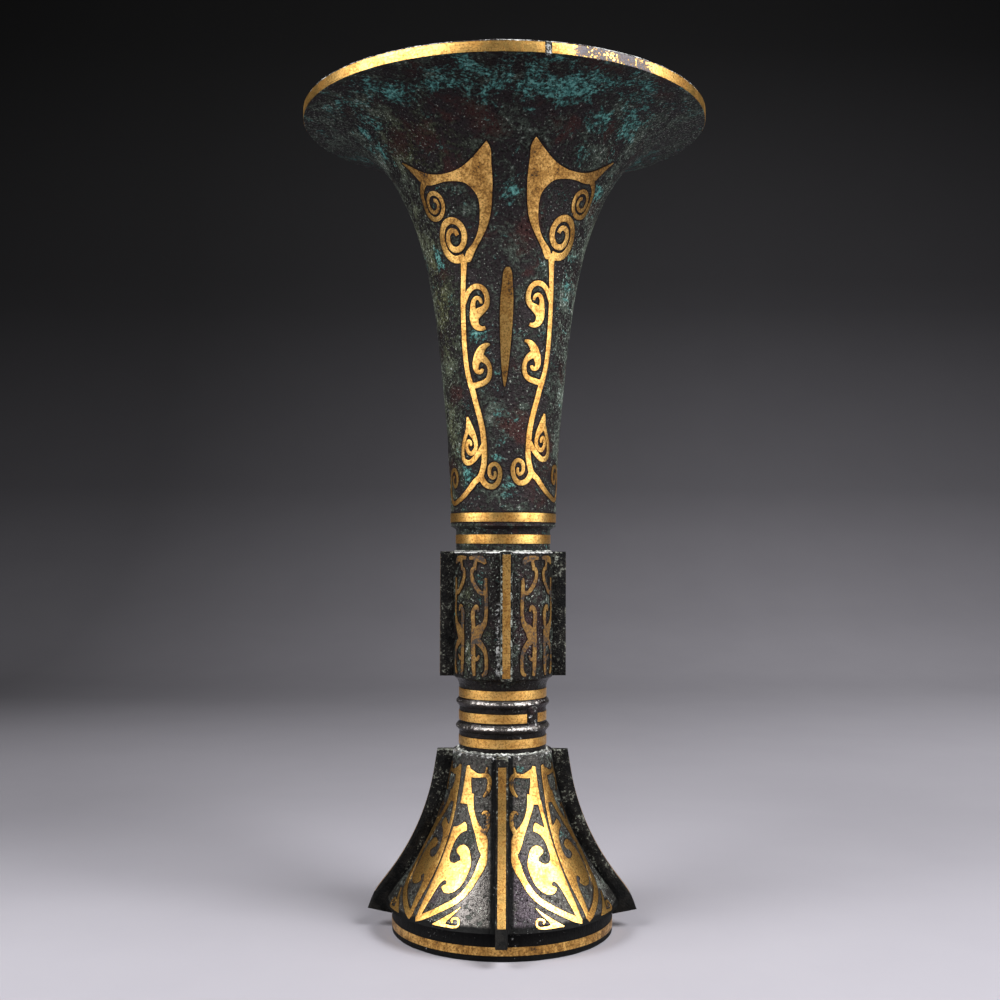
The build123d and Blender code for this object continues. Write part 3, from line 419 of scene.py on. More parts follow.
class Motif:
    """Gold sheet drawn flat, as signed distances to its edge on a grid.

    The grid is in millimetres across from a middle line and up, with a margin round what is drawn. Distances
    are known up to the reach away from a stroke.
    """

    margin = 4.0
    reach = 2.2

    def __init__(self, surface, middle, strokes, outlines=()):
        self.surface = surface
        self.middle = middle
        lines = [self.stroke_line(points) for points in strokes]
        rims = [np.concatenate([self.stroke_line(side)[:-1] for side in sides]) for sides in outlines]
        places = np.concatenate([line[:, :2] for line in lines] + rims)
        self.low = places.min(axis=0) - self.margin
        self.count = np.ceil((places.max(axis=0) + self.margin - self.low) / GOLD_GRID).astype(int) + 1
        self.x = self.low[0] + GOLD_GRID * np.arange(self.count[0])
        self.y = self.low[1] + GOLD_GRID * np.arange(self.count[1])
        self.field = np.full(tuple(self.count), FAR)
        for rim in rims:
            self.add_outline(rim)
        for line in lines:
            self.add_stroke(line)

    def stroke_line(self, points):
        """Drawn (degrees, height, ...) points as a smooth line of millimetres across and up."""
        points = np.array(points, float)
        z = self.surface.bottom + points[:, 1]
        across = np.radians(points[:, 0] - self.middle) * self.surface.radius(z)
        flat = np.column_stack((across, z, points[:, 2:]))
        length = np.linalg.norm(np.diff(flat[:, :2], axis=0), axis=1).sum()
        return smooth_line(flat, max(4, int(length / STROKE_STEP)))

    def window(self, low, high):
        first = np.clip(((low - self.low) / GOLD_GRID).astype(int), 0, self.count - 1)
        last = np.clip(((high - self.low) / GOLD_GRID).astype(int) + 2, 1, self.count)
        return slice(first[0], last[0]), slice(first[1], last[1])

    def offsets(self, place, box):
        """Millimetres across and up from a place, in a window of the grid."""
        return self.x[box[0]][:, None] - place[0], self.y[box[1]][None, :] - place[1]

    def nearest(self, start, end, box):
        """Distance to a straight stretch, and the share of the way along it, in a window of the grid."""
        x, y = self.offsets(start, box)
        way = end - start
        share = np.clip((x * way[0] + y * way[1]) / max(way @ way, 1e-9), 0, 1)
        return np.hypot(x - share * way[0], y - share * way[1]), share

    def add_stroke(self, line):
        """A stroke along a line of (across, up, width) points, cut off square at both ends."""
        own = np.full(self.field.shape, FAR)
        for start, end in zip(line[:-1], line[1:]):
            reach = max(start[2], end[2]) / 2 + self.reach
            box = self.window(np.minimum(start[:2], end[:2]) - reach, np.maximum(start[:2], end[:2]) + reach)
            distance, share = self.nearest(start[:2], end[:2], box)
            distance -= (start[2] + (end[2] - start[2]) * share) / 2
            own[box] = np.minimum(own[box], distance)
        for tip, inner in ((line[0], line[1]), (line[-1], line[-2])):
            way = (tip[:2] - inner[:2]) / np.linalg.norm(tip[:2] - inner[:2])
            box = self.window(tip[:2] - tip[2], tip[:2] + tip[2])
            x, y = self.offsets(tip, box)
            beyond = np.where(np.hypot(x, y) < 0.7 * tip[2], x * way[0] + y * way[1], -FAR)
            own[box] = np.maximum(own[box], beyond)
        self.field = np.minimum(self.field, own)

    def add_outline(self, rim):
        box = self.window(rim.min(axis=0) - 3, rim.max(axis=0) + 3)
        distance = np.full(self.field[box].shape, FAR)
        inside = np.zeros(distance.shape, bool)
        x, y = self.offsets((0, 0), box)
        for start, end in zip(rim, np.roll(rim, -1, axis=0)):
            distance = np.minimum(distance, self.nearest(start, end, box)[0])
            if start[1] != end[1]:
                crossing = start[0] + (y - start[1]) / (end[1] - start[1]) * (end[0] - start[0])
                inside ^= ((start[1] > y) != (end[1] > y)) & (x < crossing)
        self.field[box] = np.minimum(self.field[box], np.where(inside, -distance, distance))

    def distance(self, angles, z):
        """Distance to the gold's edge at places of the surface, up to a few millimetres away."""
        x = np.radians(angles - self.middle) * self.surface.radius(z)
        column = (x - self.low[0]) / GOLD_GRID
        row = (z - self.low[1]) / GOLD_GRID
        known = (column >= 0) & (row >= 0) & (column < self.count[0] - 1) & (row < self.count[1] - 1)
        found = np.full(len(x), FAR)
        found[known] = self.field[column[known].round().astype(int), row[known].round().astype(int)]
        return found

    def sheet(self):
        """Vertices (across, up), lifts and faces of the sheet, with a skirt that goes down into its bed."""
        inside = self.field < 0
        keys, places, lifts, faces = {}, [], [], []
        edge_lift = GOLD_RISE - GOLD_EDGE_DROP

        def vertex(key, x, y, lift):
            if key not in keys:
                keys[key] = len(places)
                places.append((x, y))
                lifts.append(lift)
            return keys[key]

        corners = inside[:-1, :-1] | inside[1:, :-1] | inside[:-1, 1:] | inside[1:, 1:]
        for i, j in np.argwhere(corners):
            loop = [(i, j), (i + 1, j), (i + 1, j + 1), (i, j + 1)]
            face = []
            for here, there in zip(loop, loop[1:] + loop[:1]):
                value, following = self.field[here], self.field[there]
                if value < 0:
                    lift = GOLD_RISE - GOLD_EDGE_DROP * (1 - min(-value / GOLD_EDGE, 1))
                    face.append(vertex(here, self.x[here[0]], self.y[here[1]], lift))
                if (value < 0) != (following < 0):
                    share = value / (value - following)
                    x = self.x[here[0]] + share * (self.x[there[0]] - self.x[here[0]])
                    y = self.y[here[1]] + share * (self.y[there[1]] - self.y[here[1]])
                    face.append(vertex((min(here, there), max(here, there)), x, y, edge_lift))
            if len(face) > 2:
                faces.append(face)
        sides = {edge: True for face in faces for edge in zip(face, face[1:] + face[:1])}
        under = {}
        for start, end in [edge for edge in sides if edge[::-1] not in sides]:
            for k in (start, end):
                if k not in under:
                    under[k] = len(places)
                    places.append(places[k])
                    lifts.append(-GOLD_SINK)
            faces.append([end, start, under[start], under[end]])
        return np.array(places), np.array(lifts), faces


def spiral_points(surface, centre, start, turn, outer, inner, wide, narrow, tall):
    """Stroke points of a spiral, eight to a turn, as (degrees, height, width)."""
    radius = surface.radius(surface.bottom + centre[1])
    points = []
    count = round(abs(turn) / 45)
    for step in range(count + 1):
        share = step / count
        angle = math.radians(start + turn * share)
        reach = outer + (inner - outer) * share
        across = math.degrees(reach * math.cos(angle) / radius)
        up = reach * math.sin(angle) * tall
        points.append((centre[0] + across, centre[1] + up, wide + (narrow - wide) * share))
    return points


def leaf_motif():
    spiral = LEAF_MAIN_LEAD + spiral_points(TRUMPET, *LEAF_MAIN_SPIRAL)
    loop = LEAF_LOOP + spiral_points(TRUMPET, *LEAF_OUTER_SPIRAL)
    strokes = [LEAF_STEM, LEAF_HOOK, LEAF_HOOK_COMMA, LEAF_BARB, LEAF_BARB_COMMA, LEAF_DROP, LEAF_DROP_ARM,
               LEAF_FOOT_CURL, LEAF_LEG, spiral, loop]
    return Motif(TRUMPET, LEAF_MIDDLE, strokes, [LEAF_HORN])


def foot_motif(links):
    strokes = [FOOT_CREST, FOOT_TOP_BAR, FOOT_TICK, FOOT_BORDER, FOOT_LOWER_HOOK]
    return Motif(SKIRT, FOOT_PANEL_MIDDLE, strokes + links, [FOOT_COMMA])


def knop_motif():
    strokes = [KNOP_TOP_BAR, KNOP_LINK, KNOP_RING, KNOP_OUTER_STRIP, KNOP_INNER_STRIP, KNOP_LOWER_STRIP,
               KNOP_BARB]
    return Motif(KNOP, KNOP_PANEL_MIDDLE, strokes)


class Value:
    """A number or colour at each place of a surface, from a socket. Sums and products make new nodes."""

    def __init__(self, shader, socket):
        self.shader = shader
        self.socket = socket

    def __add__(self, other):
        return self.shader.math("ADD", self, other)

    def __mul__(self, other):
        return self.shader.math("MULTIPLY", self, other)

    def most(self, other):
        return self.shader.math("MAXIMUM", self, other)

    def blend(self, other, share):
        """Weighted mean with another value."""
        return self * (1 - share) + other * share

    def ramp(self, low, high, start=0.0, end=1.0):
        """The start below the low mark, the end above the high one, and a smooth step between them."""
        node = self.shader.node("MapRange", Value=self, From_Min=low, From_Max=high, To_Min=start, To_Max=end)
        node.interpolation_type = "SMOOTHSTEP"
        return Value(self.shader, node.outputs["Result"])


class Shader:
    """A node material with a tone that is built up coat by coat."""

    def __init__(self, name, tone):
        self.material = bpy.data.materials.new(name)
        self.material.use_nodes = True
        self.tree = self.material.node_tree
        self.surface = self.tree.nodes["Principled BSDF"]
        self.places = Value(self, self.tree.nodes.new("ShaderNodeTexCoord").outputs["Object"])
        self.tone = tone

    def feed(self, socket, value):
        if isinstance(value, Value):
            self.tree.links.new(value.socket, socket)
        elif socket.type == "RGBA":
            socket.default_value = (*value, 1.0)
        else:
            socket.default_value = value

    def fill(self, node, values):
        """Feeds inputs by their names, with spaces written as underscores."""
        for name, value in values.items():
            self.feed(node.inputs[name.replace("_", " ")], value)

    def node(self, kind, **values):
        node = self.tree.nodes.new(f"ShaderNode{kind}")
        self.fill(node, values)
        return node

    def set(self, **values):
        """Inputs of the surface shader, whose base colour is the tone with all its coats."""
        self.fill(self.surface, {"Base_Color": self.tone, **values})

    def noise(self, scale, detail, roughness, distortion=0.0, stretch=None):
        """Noise whose grains are about 1/scale metres across."""
        places = self.places
        if stretch:
            places = Value(self, self.node("Mapping", Vector=places, Scale=stretch).outputs["Vector"])
        node = self.node("TexNoise", Vector=places, Scale=scale, Detail=detail, Roughness=roughness,
                         Distortion=distortion)
        return Value(self, node.outputs[0])

    def math(self, operation, *values):
        node = self.node("Math")
        node.operation = operation
        for socket, value in zip(node.inputs, values):
            self.feed(socket, value)
        return Value(self, node.outputs[0])

    def mix(self, first, second, share):
        node = self.node("Mix")
        node.data_type = "RGBA"
        for place, value in ((0, share), (6, first), (7, second)):
            self.feed(node.inputs[place], value)
        return Value(self, node.outputs[2])

    def coat(self, tone, share):
        """Lays a tone over what is there so far."""
        self.tone = self.mix(self.tone, tone, share)

    def attribute(self, name):
        node = self.node("Attribute")
        node.attribute_name = name
        return Value(self, node.outputs["Fac"])

    def bump(self, heights, distance, strength):
        node = self.node("Bump", Strength=strength, Distance=distance, Height=heights)
        self.tree.links.new(node.outputs["Normal"], self.surface.inputs["Normal"])


def bronze_material(name):
    """Dark patinated bronze, with film, verdigris, stains, painted shade, crust, painted highlights and
    glints where its surface has them.
    """
    metal, stain, film_amount, green, polish, streak = BRONZES[name]
    shader = Shader(name, metal)
    near_gold = shader.attribute("near_gold")
    flank = shader.attribute("flank")
    polished = shader.attribute("polished")
    open_ground = near_gold.most(shader.attribute("clean")).ramp(0.2, 0.8, 1.0, 0.0)
    unpolished = polished.ramp(0.0, 1.0, 1.0, 0.25)
    clouds = shader.noise(95.0, 12.0, 0.7, 0.2)
    drift = shader.noise(130.0, 12.0, 0.74, 0.4, (0.75, 0.75, 1.3))
    stains = shader.noise(70.0, 9.0, 0.66, 0.3)
    grain = shader.noise(800.0, 4.0, 0.7)
    speck = shader.noise(1500.0, 2.0, 0.5)
    brush = shader.noise(500.0, 5.0, 0.6, 0.1, (1.0, 1.0, 0.06))
    grainy_clouds = clouds.blend(grain, 0.6)

    dark = tuple((0.5 + polish) * part for part in metal)
    shader.coat(dark, clouds.blend(grain, 0.4).ramp(0.44, 0.56))
    # Polish and painted highlight: a paler metal tone where the casting asks for it, which also lowers
    # roughness and bump
    shader.coat(POLISH_AND_HIGHLIGHT, polished * 0.9)
    stained = (stains + shader.attribute("stain_patch") * 0.17).ramp(0.55, 0.70, 0.0, 0.75)
    shader.coat(stain, stained)
    film = (clouds.blend(grain, 0.42) + flank * 0.03 + film_amount).ramp(0.48, 0.60)
    film = film * open_ground * stained.ramp(0.0, 0.75, 1.0, 0.3)
    shader.coat(shader.mix(FILM, OLIVE, shader.attribute("olive_patch")), film * 0.9)
    patch = drift.blend(grain, 0.3) + shader.attribute("turquoise_patch") * 0.13 + green
    patch = patch.ramp(0.575, 0.665) * open_ground
    shader.coat(shader.mix(*TURQUOISE, grain.ramp(0.42, 0.62)), patch)
    # Pale specks, more of them where the casting marks painted glints or grit
    specks = (speck + flank * 0.07).ramp(0.66, 0.74) * open_ground
    shader.coat(SPECKS, specks * 0.75)
    shader.coat(PIT_SHADE, speck.ramp(0.36, 0.43, 0.85, 0.0) * unpolished)
    shader.coat(GOLD_BED, near_gold.ramp(0.6, 0.95, 0.0, 0.85))
    # Painted shade: near black where the casting asks for it, under the trumpet's step, on the base ring and
    # beside the foot's flanges
    soot = (grainy_clouds + shader.attribute("soot") * 1.4).ramp(0.85, 1.35)
    shader.coat(PAINTED_SHADE, soot)
    # Pale crust, and painted highlights where the casting marks the lip, ledge tops, ridges and bridge
    crust = (grainy_clouds + shader.attribute("crust") * 0.2).ramp(0.60, 0.68)
    shader.coat(CRUST_AND_HIGHLIGHT, crust)

    dull = patch.most(crust).most(film * 0.75).most(soot * 0.8)
    roughness = dull.ramp(0.0, 0.7, 0.48 - polish, 0.68 - polish * 0.6) + polished * -0.1
    shader.set(Metallic=dull.ramp(0.0, 0.6, 0.85, 0.0), Roughness=roughness, Specular_IOR_Level=0.08)
    relief = grain + clouds * 0.8 + brush * streak + dull
    shader.bump(relief * unpolished, 0.0005, 0.9 - polish)
    return shader.material


def flange_material():
    """Near-black rough bronze, dusted with pale grains, crusted and given painted highlights where its
    surface says so, and darker where the amount is below zero, as painted shade.
    """
    shader = Shader("flange_bronze", FLANGE_BLACK[0])
    clouds = shader.noise(150.0, 8.0, 0.7, 0.2)
    grain = shader.noise(1150.0, 4.0, 0.7)
    mixed = clouds.blend(grain, 0.6)
    pale = shader.attribute("crust")
    shader.coat(FLANGE_BLACK[1], clouds.ramp(0.42, 0.62))
    # Pale dust, taken off as painted shade where the amount is below zero
    shader.coat(FLANGE_DUST, (mixed + pale * 0.1).ramp(0.54, 0.61, 0.0, 0.8))
    shader.coat(FLANGE_CRUST_AND_HIGHLIGHT, (mixed + pale * 0.2).ramp(0.60, 0.69))
    shader.set(Metallic=0.0, Roughness=0.6, Specular_IOR_Level=0.08)
    shader.bump(grain + clouds, 0.0005, 0.9)
    return shader.material


def gold_material(name):
    """Gold sheet with fine level scratches, rubbed brown, lost or bare where its surface says so."""
    wear, depth, metallic = GOLDS[name]
    bright, deep, grained, scratched = [tuple(depth * part for part in tone) for tone in GOLD_TONES]
    brown = tuple((0.4 + 0.6 * depth) * part for part in RUBBED_GOLD)
    shader = Shader(name, bright)
    scratches = shader.noise(240.0, 7.0, 0.7, 0.2, (0.35, 0.35, 6.0))
    clouds = shader.noise(150.0, 9.0, 0.66, 0.3)
    grain = shader.noise(1300.0, 3.0, 0.65)
    mixed = clouds.blend(grain, 0.4)
    shader.coat(deep, clouds.ramp(0.38, 0.64))
    shader.coat(grained, grain.ramp(0.47, 0.64, 0.0, 0.85))
    shader.coat(scratched, scratches.ramp(0.54, 0.70, 0.0, 0.75))
    rubbed = mixed + wear + shader.attribute("rubbed") * 0.16
    shader.coat(brown, rubbed.ramp(0.50, 0.72))
    shader.coat(LOST_GOLD, rubbed.ramp(0.66, 0.74))
    bare = (mixed + shader.attribute("worn") * 0.3).ramp(0.64, 0.76)
    shader.coat(shader.mix(*BARE_RIM, mixed.ramp(0.44, 0.60)), bare)
    gloss = mixed.ramp(0.4, 0.6, 0.30 + 0.4 * wear, 0.44 + 0.4 * wear) + bare * 0.2
    shader.set(Metallic=bare.ramp(0.0, 1.0, metallic, 0.2), Roughness=gloss, Specular_IOR_Level=0.2)
    shader.bump(scratches.blend(grain, 0.45), 0.00025, 0.45)
    return shader.material


def solder_material():
    """Whitish, slightly glossy solder with darker corroded pits."""
    shader = Shader("corroded_solder", SOLDER[0])
    clouds = shader.noise(260.0, 7.0, 0.68)
    grain = shader.noise(1000.0, 4.0, 0.65)
    mixed = clouds.blend(grain, 0.5)
    shader.coat(SOLDER[1], mixed.ramp(0.44, 0.53))
    shader.coat(SOLDER[2], mixed.ramp(0.54, 0.61))
    shader.set(Metallic=0.2, Roughness=0.38)
    shader.bump(clouds + grain, 0.0006, 0.8)
    return shader.material


def floor_material():
    shader = Shader("pale_floor", (0.0, 0.0, 0.0))
    clouds = shader.noise(14.0, 6.0, 0.6)
    shader.coat(shader.mix(*FLOOR, clouds), shader.attribute("shade"))
    shader.set(Roughness=0.7, Specular_IOR_Level=0.15)
    return shader.material


def grid_faces(lines, count, closed=True):
    """Quads between neighbouring lines of points, with so many points to a line that may be closed."""
    faces = []
    for line in range(lines - 1):
        for k in range(count if closed else count - 1):
            here, after = line * count + k, line * count + (k + 1) % count
            faces.append((here, after, after + count, here + count))
    return faces


def ring_faces(columns, rows):
    """Quads of a closed section carried once round the axis."""
    faces = []
    for column in range(columns):
        start, following = column * rows, (column + 1) % columns * rows
        for row in range(rows):
            after = (row + 1) % rows
            faces.append((start + row, following + row, following + after, start + after))
    return faces


def add_object(name, places, faces, material, values):
    """A smooth-shaded object from places in metres, with named amounts at its points."""
    mesh = bpy.data.meshes.new(name)
    mesh.from_pydata(places.tolist(), [], faces)
    mesh.update()
    for attribute, amounts in values.items():
        layer = mesh.attributes.new(attribute, "FLOAT", "POINT")
        layer.data.foreach_set("value", np.asarray(amounts, np.float32))
    mesh.shade_smooth()
    mesh.materials.append(material)
    made = bpy.data.objects.new(name, mesh)
    bpy.context.scene.collection.objects.link(made)
    return made


def add_piece(name, node, places, faces, material, values):
    """A piece from places in millimetres, which stands for a node of the frame."""
    piece = add_object(name, np.asarray(places) * MM, faces, material, values)
    piece.data.set_sharp_from_angle(angle=math.radians(40))
    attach(piece, "root")
    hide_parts(node)


def roughness_at(places, size):
    """Fractal noise from 0 to 1 at places in millimetres, with lumps of about the given size."""
    values = [noise.fractal(Vector(place) / size, 0.9, 2.0, 4) for place in places]
    return np.clip(np.array(values) * 0.5 + 0.5, 0, 1)


def patch_strength(patches, angle, height):
    """Strength of the nearest patches at places of a casting. The patches come again on the back."""
    total = np.zeros(len(angle))
    for middle, level, wide, tall, strength in patches:
        for turn in FACES.values():
            away = (wrapped(angle - middle - turn) / wide) ** 2 + ((height - level) / tall) ** 2
            total = np.maximum(total, strength * np.exp(-0.8 * away))
    return total


def lathe(node, profile, material, marks, swell=None):
    """A turned casting from a closed (radius, height) profile, pitted inwards.

    Marks gives the named amounts that colour it, from degrees round, radii and heights.
    """
    columns = COLUMNS[node]
    profile = np.array(profile, float)
    ahead = np.roll(profile, -1, axis=0) - np.roll(profile, 1, axis=0)
    ahead /= np.maximum(np.linalg.norm(ahead, axis=1), 1e-9)[:, None]
    angle = np.repeat(np.arange(columns) * 360 / columns, len(profile))
    radius, height = np.tile(profile.T, columns)
    ahead_out, ahead_up = np.tile(ahead.T, columns)
    if swell:
        radius = radius + swell(angle, radius, height)
    depth = LEAST_PIT + PITS[node] * roughness_at(around(angle, radius, height), PIT_SIZE)
    radius = np.where(radius < 0.1, radius, radius - depth * ahead_up)
    height = height + depth * ahead_out
    # Painted glints: more pale specks and film towards the sides as seen from the front; the knop replaces
    # this with even grit
    values = {"flank": np.sin(np.radians(angle)) ** 4, **marks(angle, radius, height)}
    values["turquoise_patch"] = patch_strength(TURQUOISE_PATCHES, angle, height)
    values["stain_patch"] = patch_strength(STAIN_PATCHES, angle, height)
    values["olive_patch"] = patch_strength(OLIVE_PATCHES, angle, height)
    faces = ring_faces(columns, len(profile))
    add_piece(f"{node}_casting", node, around(angle, radius, height), faces, material, values)


def band_distance(z, bands):
    return np.min([np.maximum(low - z, z - high) for low, high in bands], axis=0)


def beaker_profile():
    """Closed profile from the spigot up the outside, over the lip and down the inside."""
    spigot_end = CUP_FLOOR - WALL
    outside = spread([(AXIS_RADIUS, spigot_end), (CUP_SPIGOT_RADIUS, spigot_end),
                      (CUP_SPIGOT_RADIUS, KNOP_TOP), (NECK_RADIUS, KNOP_TOP),
                      (NECK_RADIUS, TRUMPET_FOOT - STEP_BEVEL),
                      (TRUMPET_FOOT_RADIUS, TRUMPET_FOOT - 0.4), TRUMPET_PROFILE[0]], 0.8)
    lip = (RIM_RADIUS - RIM_LIP, RIM_TOP)
    rim = spread([TRUMPET_PROFILE[-1], (RIM_RADIUS, RIM_TOP - 0.7), (RIM_RADIUS - 0.25, RIM_TOP - 0.2),
                  (RIM_RADIUS - 0.8, RIM_TOP), lip], 0.6)
    way = directions(TRUMPET_PROFILE)
    inner = TRUMPET_PROFILE + WALL * np.stack((-way[:, 1], way[:, 0]), axis=1)
    hollow = [lip, *inner[230:20:-30], (CUP_BORE + 0.8, TRUMPET_FOOT), (CUP_BORE, CUP_FLOOR)]
    hollow = list(smooth_line(hollow, 110))
    floor = spread([(CUP_BORE, CUP_FLOOR), (AXIS_RADIUS, CUP_FLOOR)], 2.0)
    return outside + list(TRUMPET_PROFILE[1:]) + rim[1:] + hollow[1:] + floor[1:]


def knop_profile():
    """Closed profile of the flanged section, the ringed neck and the spigot."""
    spigot_end = FOOT_TOP - FOOT_SPIGOT_LENGTH
    socket = CUP_SPIGOT_RADIUS + PLAY
    socket_end = KNOP_TOP - CUP_SOCKET_DEPTH
    outside = [(KNOP_BORE, spigot_end), (FOOT_SPIGOT_RADIUS, spigot_end), (FOOT_SPIGOT_RADIUS, FOOT_TOP),
               (RING_NECK_RADIUS, FOOT_TOP)]
    half = [(RING_NECK_RADIUS, RIDGE_HALF_HEIGHT), (RING_NECK_RADIUS + 0.75, 1.15),
            (RIDGE_RADIUS - 0.25, 0.55)]
    for level in RIDGE_LEVELS:
        outside += [(radius, level - away) for radius, away in half]
        outside += [(RIDGE_RADIUS, level)]
        outside += [(radius, level + away) for radius, away in reversed(half)]
    outside += [(RING_NECK_RADIUS, RING_NECK_TOP), (RING_NECK_RADIUS + 0.3, RING_NECK_TOP + 1.4),
                (RING_NECK_RADIUS + 1.1, RING_NECK_TOP + 2.8), (KNOP_RADIUS - 0.1, KNOP_BOTTOM - 0.1),
                (KNOP_RADIUS, KNOP_BOTTOM + 0.2), (KNOP_RADIUS, KNOP_TOP - 0.4),
                (KNOP_RADIUS - 0.3, KNOP_TOP), (socket, KNOP_TOP), (socket, socket_end),
                (KNOP_BORE, socket_end), (KNOP_BORE, spigot_end)]
    return spread(outside, 0.5)[:-1]


def foot_profile():
    """Closed profile of the skirt and its base ring."""
    way = directions(SKIRT_PROFILE)
    inner = SKIRT_PROFILE + WALL * np.stack((way[:, 1], -way[:, 0]), axis=1)
    socket_end = (FOOT_SPIGOT_RADIUS + PLAY, FOOT_TOP - FOOT_SOCKET_DEPTH)
    hollow = smooth_line([(BASE_BORE, SKIRT_END), *inner[105:30:-15], socket_end], 50)
    base = spread([(BASE_BORE, SKIRT_END), (BASE_BORE, 0.3), (BASE_BORE + 0.3, 0),
                   (BASE_RING_RADIUS - 0.4, 0), (BASE_RING_RADIUS, 0.4), (BASE_RING_RADIUS, SKIRT_END - 0.7),
                   (BASE_RING_RADIUS + 0.5, SKIRT_END - 0.1), SKIRT_PROFILE[-1]], 0.6)
    top = spread([SKIRT_PROFILE[0], (SKIRT_TOP_RADIUS - 0.4, FOOT_TOP), (socket_end[0], FOOT_TOP),
                  socket_end], 0.7)
    return base + list(SKIRT_PROFILE[-2::-1]) + top[1:] + list(hollow[-2:0:-1])


def bridge_swell(angle, radius, height):
    """Rough bronze that fills a short stretch between the neck's two ridges, and dents in the ridges."""
    low, high = RIDGE_LEVELS
    span = np.clip(1 - (np.abs(wrapped(angle - BRIDGE_MIDDLE)) / BRIDGE_HALF_SPAN) ** 4, 0, 1)
    between = fade(np.minimum(height - low, high - height), 0, 0.8)
    lumps = np.stack((angle * 0.28, height, np.zeros(len(angle))), axis=1)
    uneven = roughness_at(lumps, 1.6)
    fill = RING_NECK_RADIUS + BRIDGE_RISE * (0.4 + 0.6 * uneven) - radius
    ridge = (radius > RING_NECK_RADIUS + 0.5) & (height < RING_NECK_TOP)
    dents = np.where(ridge, -RIDGE_DENTS * uneven, 0)
    return np.where((radius > RING_NECK_RADIUS - 0.1) & (fill > 0), fill * span * between, 0) + dents


def half_copies(turns, turn, slip=0.0):
    """Name, turn, mirrored or not, and slip of the right and the left half of a motif at each named place."""
    return [(f"{name}_{side}", angle + turn, sign, sign * slip)
            for name, angle in turns.items() for side, sign in (("right", 1), ("left", -1))]


def motif_distance(sheets, angle, height):
    """Least distance from places of a casting to any copy of its motifs."""
    found = [motif.distance(side * wrapped(angle - turn), height - slip)
             for motif, copies, *_ in sheets for _, turn, side, slip in copies]
    return np.min(found, axis=0)


def add_sheets(motif, copies, prefix, rubbed, material):
    """Gold sheets of a motif's copies. Rubbed is their wear, or gives it from name, degrees and heights."""
    places, lifts, faces = motif.sheet()
    across, up = places.T
    angle = motif.middle + np.degrees(across / motif.surface.radius(up))
    for name, turn, side, slip in copies:
        points = motif.surface.points(turn + side * angle, up + slip, lifts)
        turned_faces = faces if side > 0 else [face[::-1] for face in faces]
        wear = np.full(len(up), rubbed(name, angle, up) if callable(rubbed) else rubbed)
        node = f"{prefix}_{name}"
        add_piece(f"{node}_sheet", node, points, turned_faces, material, {"rubbed": wear})


def add_strip(node, origins, across, normals, width, material, closed, worn=0.0, rubbed=0.0):
    """A gold strip along a run of places on its middle line, each with its directions across and up."""
    half = width / 2
    low = GOLD_RISE - GOLD_EDGE_DROP
    section = [(-half, -GOLD_SINK), (-half, low), (STRIP_BEVEL - half, GOLD_RISE), (0.0, GOLD_RISE),
               (half - STRIP_BEVEL, GOLD_RISE), (half, low), (half, -GOLD_SINK)]
    rows, count = len(section), len(origins)
    wobble = (1 + 0.05 * (roughness_at(origins, 5.0) - 0.5))[:, None]
    lines = [origins + across * (offset * wobble) + normals * lift for offset, lift in section]
    places = np.concatenate(lines)
    faces = grid_faces(rows, count, closed)
    if not closed:
        faces.append([row * count for row in range(rows)])
        faces.append([row * count + count - 1 for row in reversed(range(rows))])
    values = {"worn": np.tile(np.full(count, worn), rows), "rubbed": np.full(len(places), rubbed)}
    add_piece(f"{node}_gold", node, places, faces, material, values)


def add_band(node, radius, band, material, gap=None, wear=None, rubbed=0.0):
    """A gold band round the axis, which may have a gap between two angles."""
    start, sweep = (gap[1], 360 - gap[1] + gap[0]) if gap else (0.0, 360.0)
    count = max(60, int(radius * math.radians(sweep) / BAND_STEP))
    angles = start + sweep * np.arange(count) / (count - 1 if gap else count)
    out = around(angles, 1.0, np.zeros(count))
    up = np.tile((0.0, 0.0, 1.0), (count, 1))
    origins = out * radius + up * (band[0] + band[1]) / 2
    worn = wear(angles) if wear else 0.0
    add_strip(node, origins, up, out, band[1] - band[0], material, not gap, worn, rubbed)


def rim_wear(angles):
    """Bare patch of the rim's band, beside its seam."""
    angles = wrapped(angles)
    inside = np.minimum(angles - RIM_BARE[0], RIM_BARE[1] - angles)
    return RIM_WEAR * fade(inside, -6.4, 1.6)


def spun(places, turn):
    """Places turned round the axis by some degrees."""
    return places @ np.array(Matrix.Rotation(math.radians(turn), 3, "Z")).T


def add_flange(node, outline, turn, material, crust):
    """A flange from its (radius, height) outline, with softened edges. Its last function gives how pale it
    is, from crust and painted highlights, with painted shade where it falls below zero.
    """
    points = np.array(outline)
    count = len(points)
    half, soft = FLANGE_THICKNESS / 2, FLANGE_BEVEL * 0.3
    side = [(half, FLANGE_BEVEL), (half - soft, soft), (half - FLANGE_BEVEL, 0.0)]
    layers = [(-offset, inset) for offset, inset in side] + [(0.0, 0.0)] + side[::-1]
    ahead = np.roll(points, -1, axis=0) - np.roll(points, 1, axis=0)
    inward = np.stack((-ahead[:, 1], ahead[:, 0]), axis=1)
    inward /= np.linalg.norm(inward, axis=1)[:, None]
    if np.sum(inward * (np.mean(points, axis=0) - points)) < 0:
        inward = -inward
    flat = [np.column_stack((points + inward * inset, np.full(count, offset))) for offset, inset in layers]
    flat = np.concatenate(flat)
    places = np.stack((flat[:, 2], -flat[:, 0], flat[:, 1]), axis=1)
    places[:, 0] -= FLANGE_ROUGHNESS * np.sign(places[:, 0]) * roughness_at(places, 3.0)
    faces = grid_faces(len(layers), count)
    faces.append(list(range(count))[::-1])
    faces.append([(len(layers) - 1) * count + k for k in range(count)])
    values = {"crust": crust(flat)}
    add_piece(f"{node}_casting", node, spun(places, turn), faces, material, values)


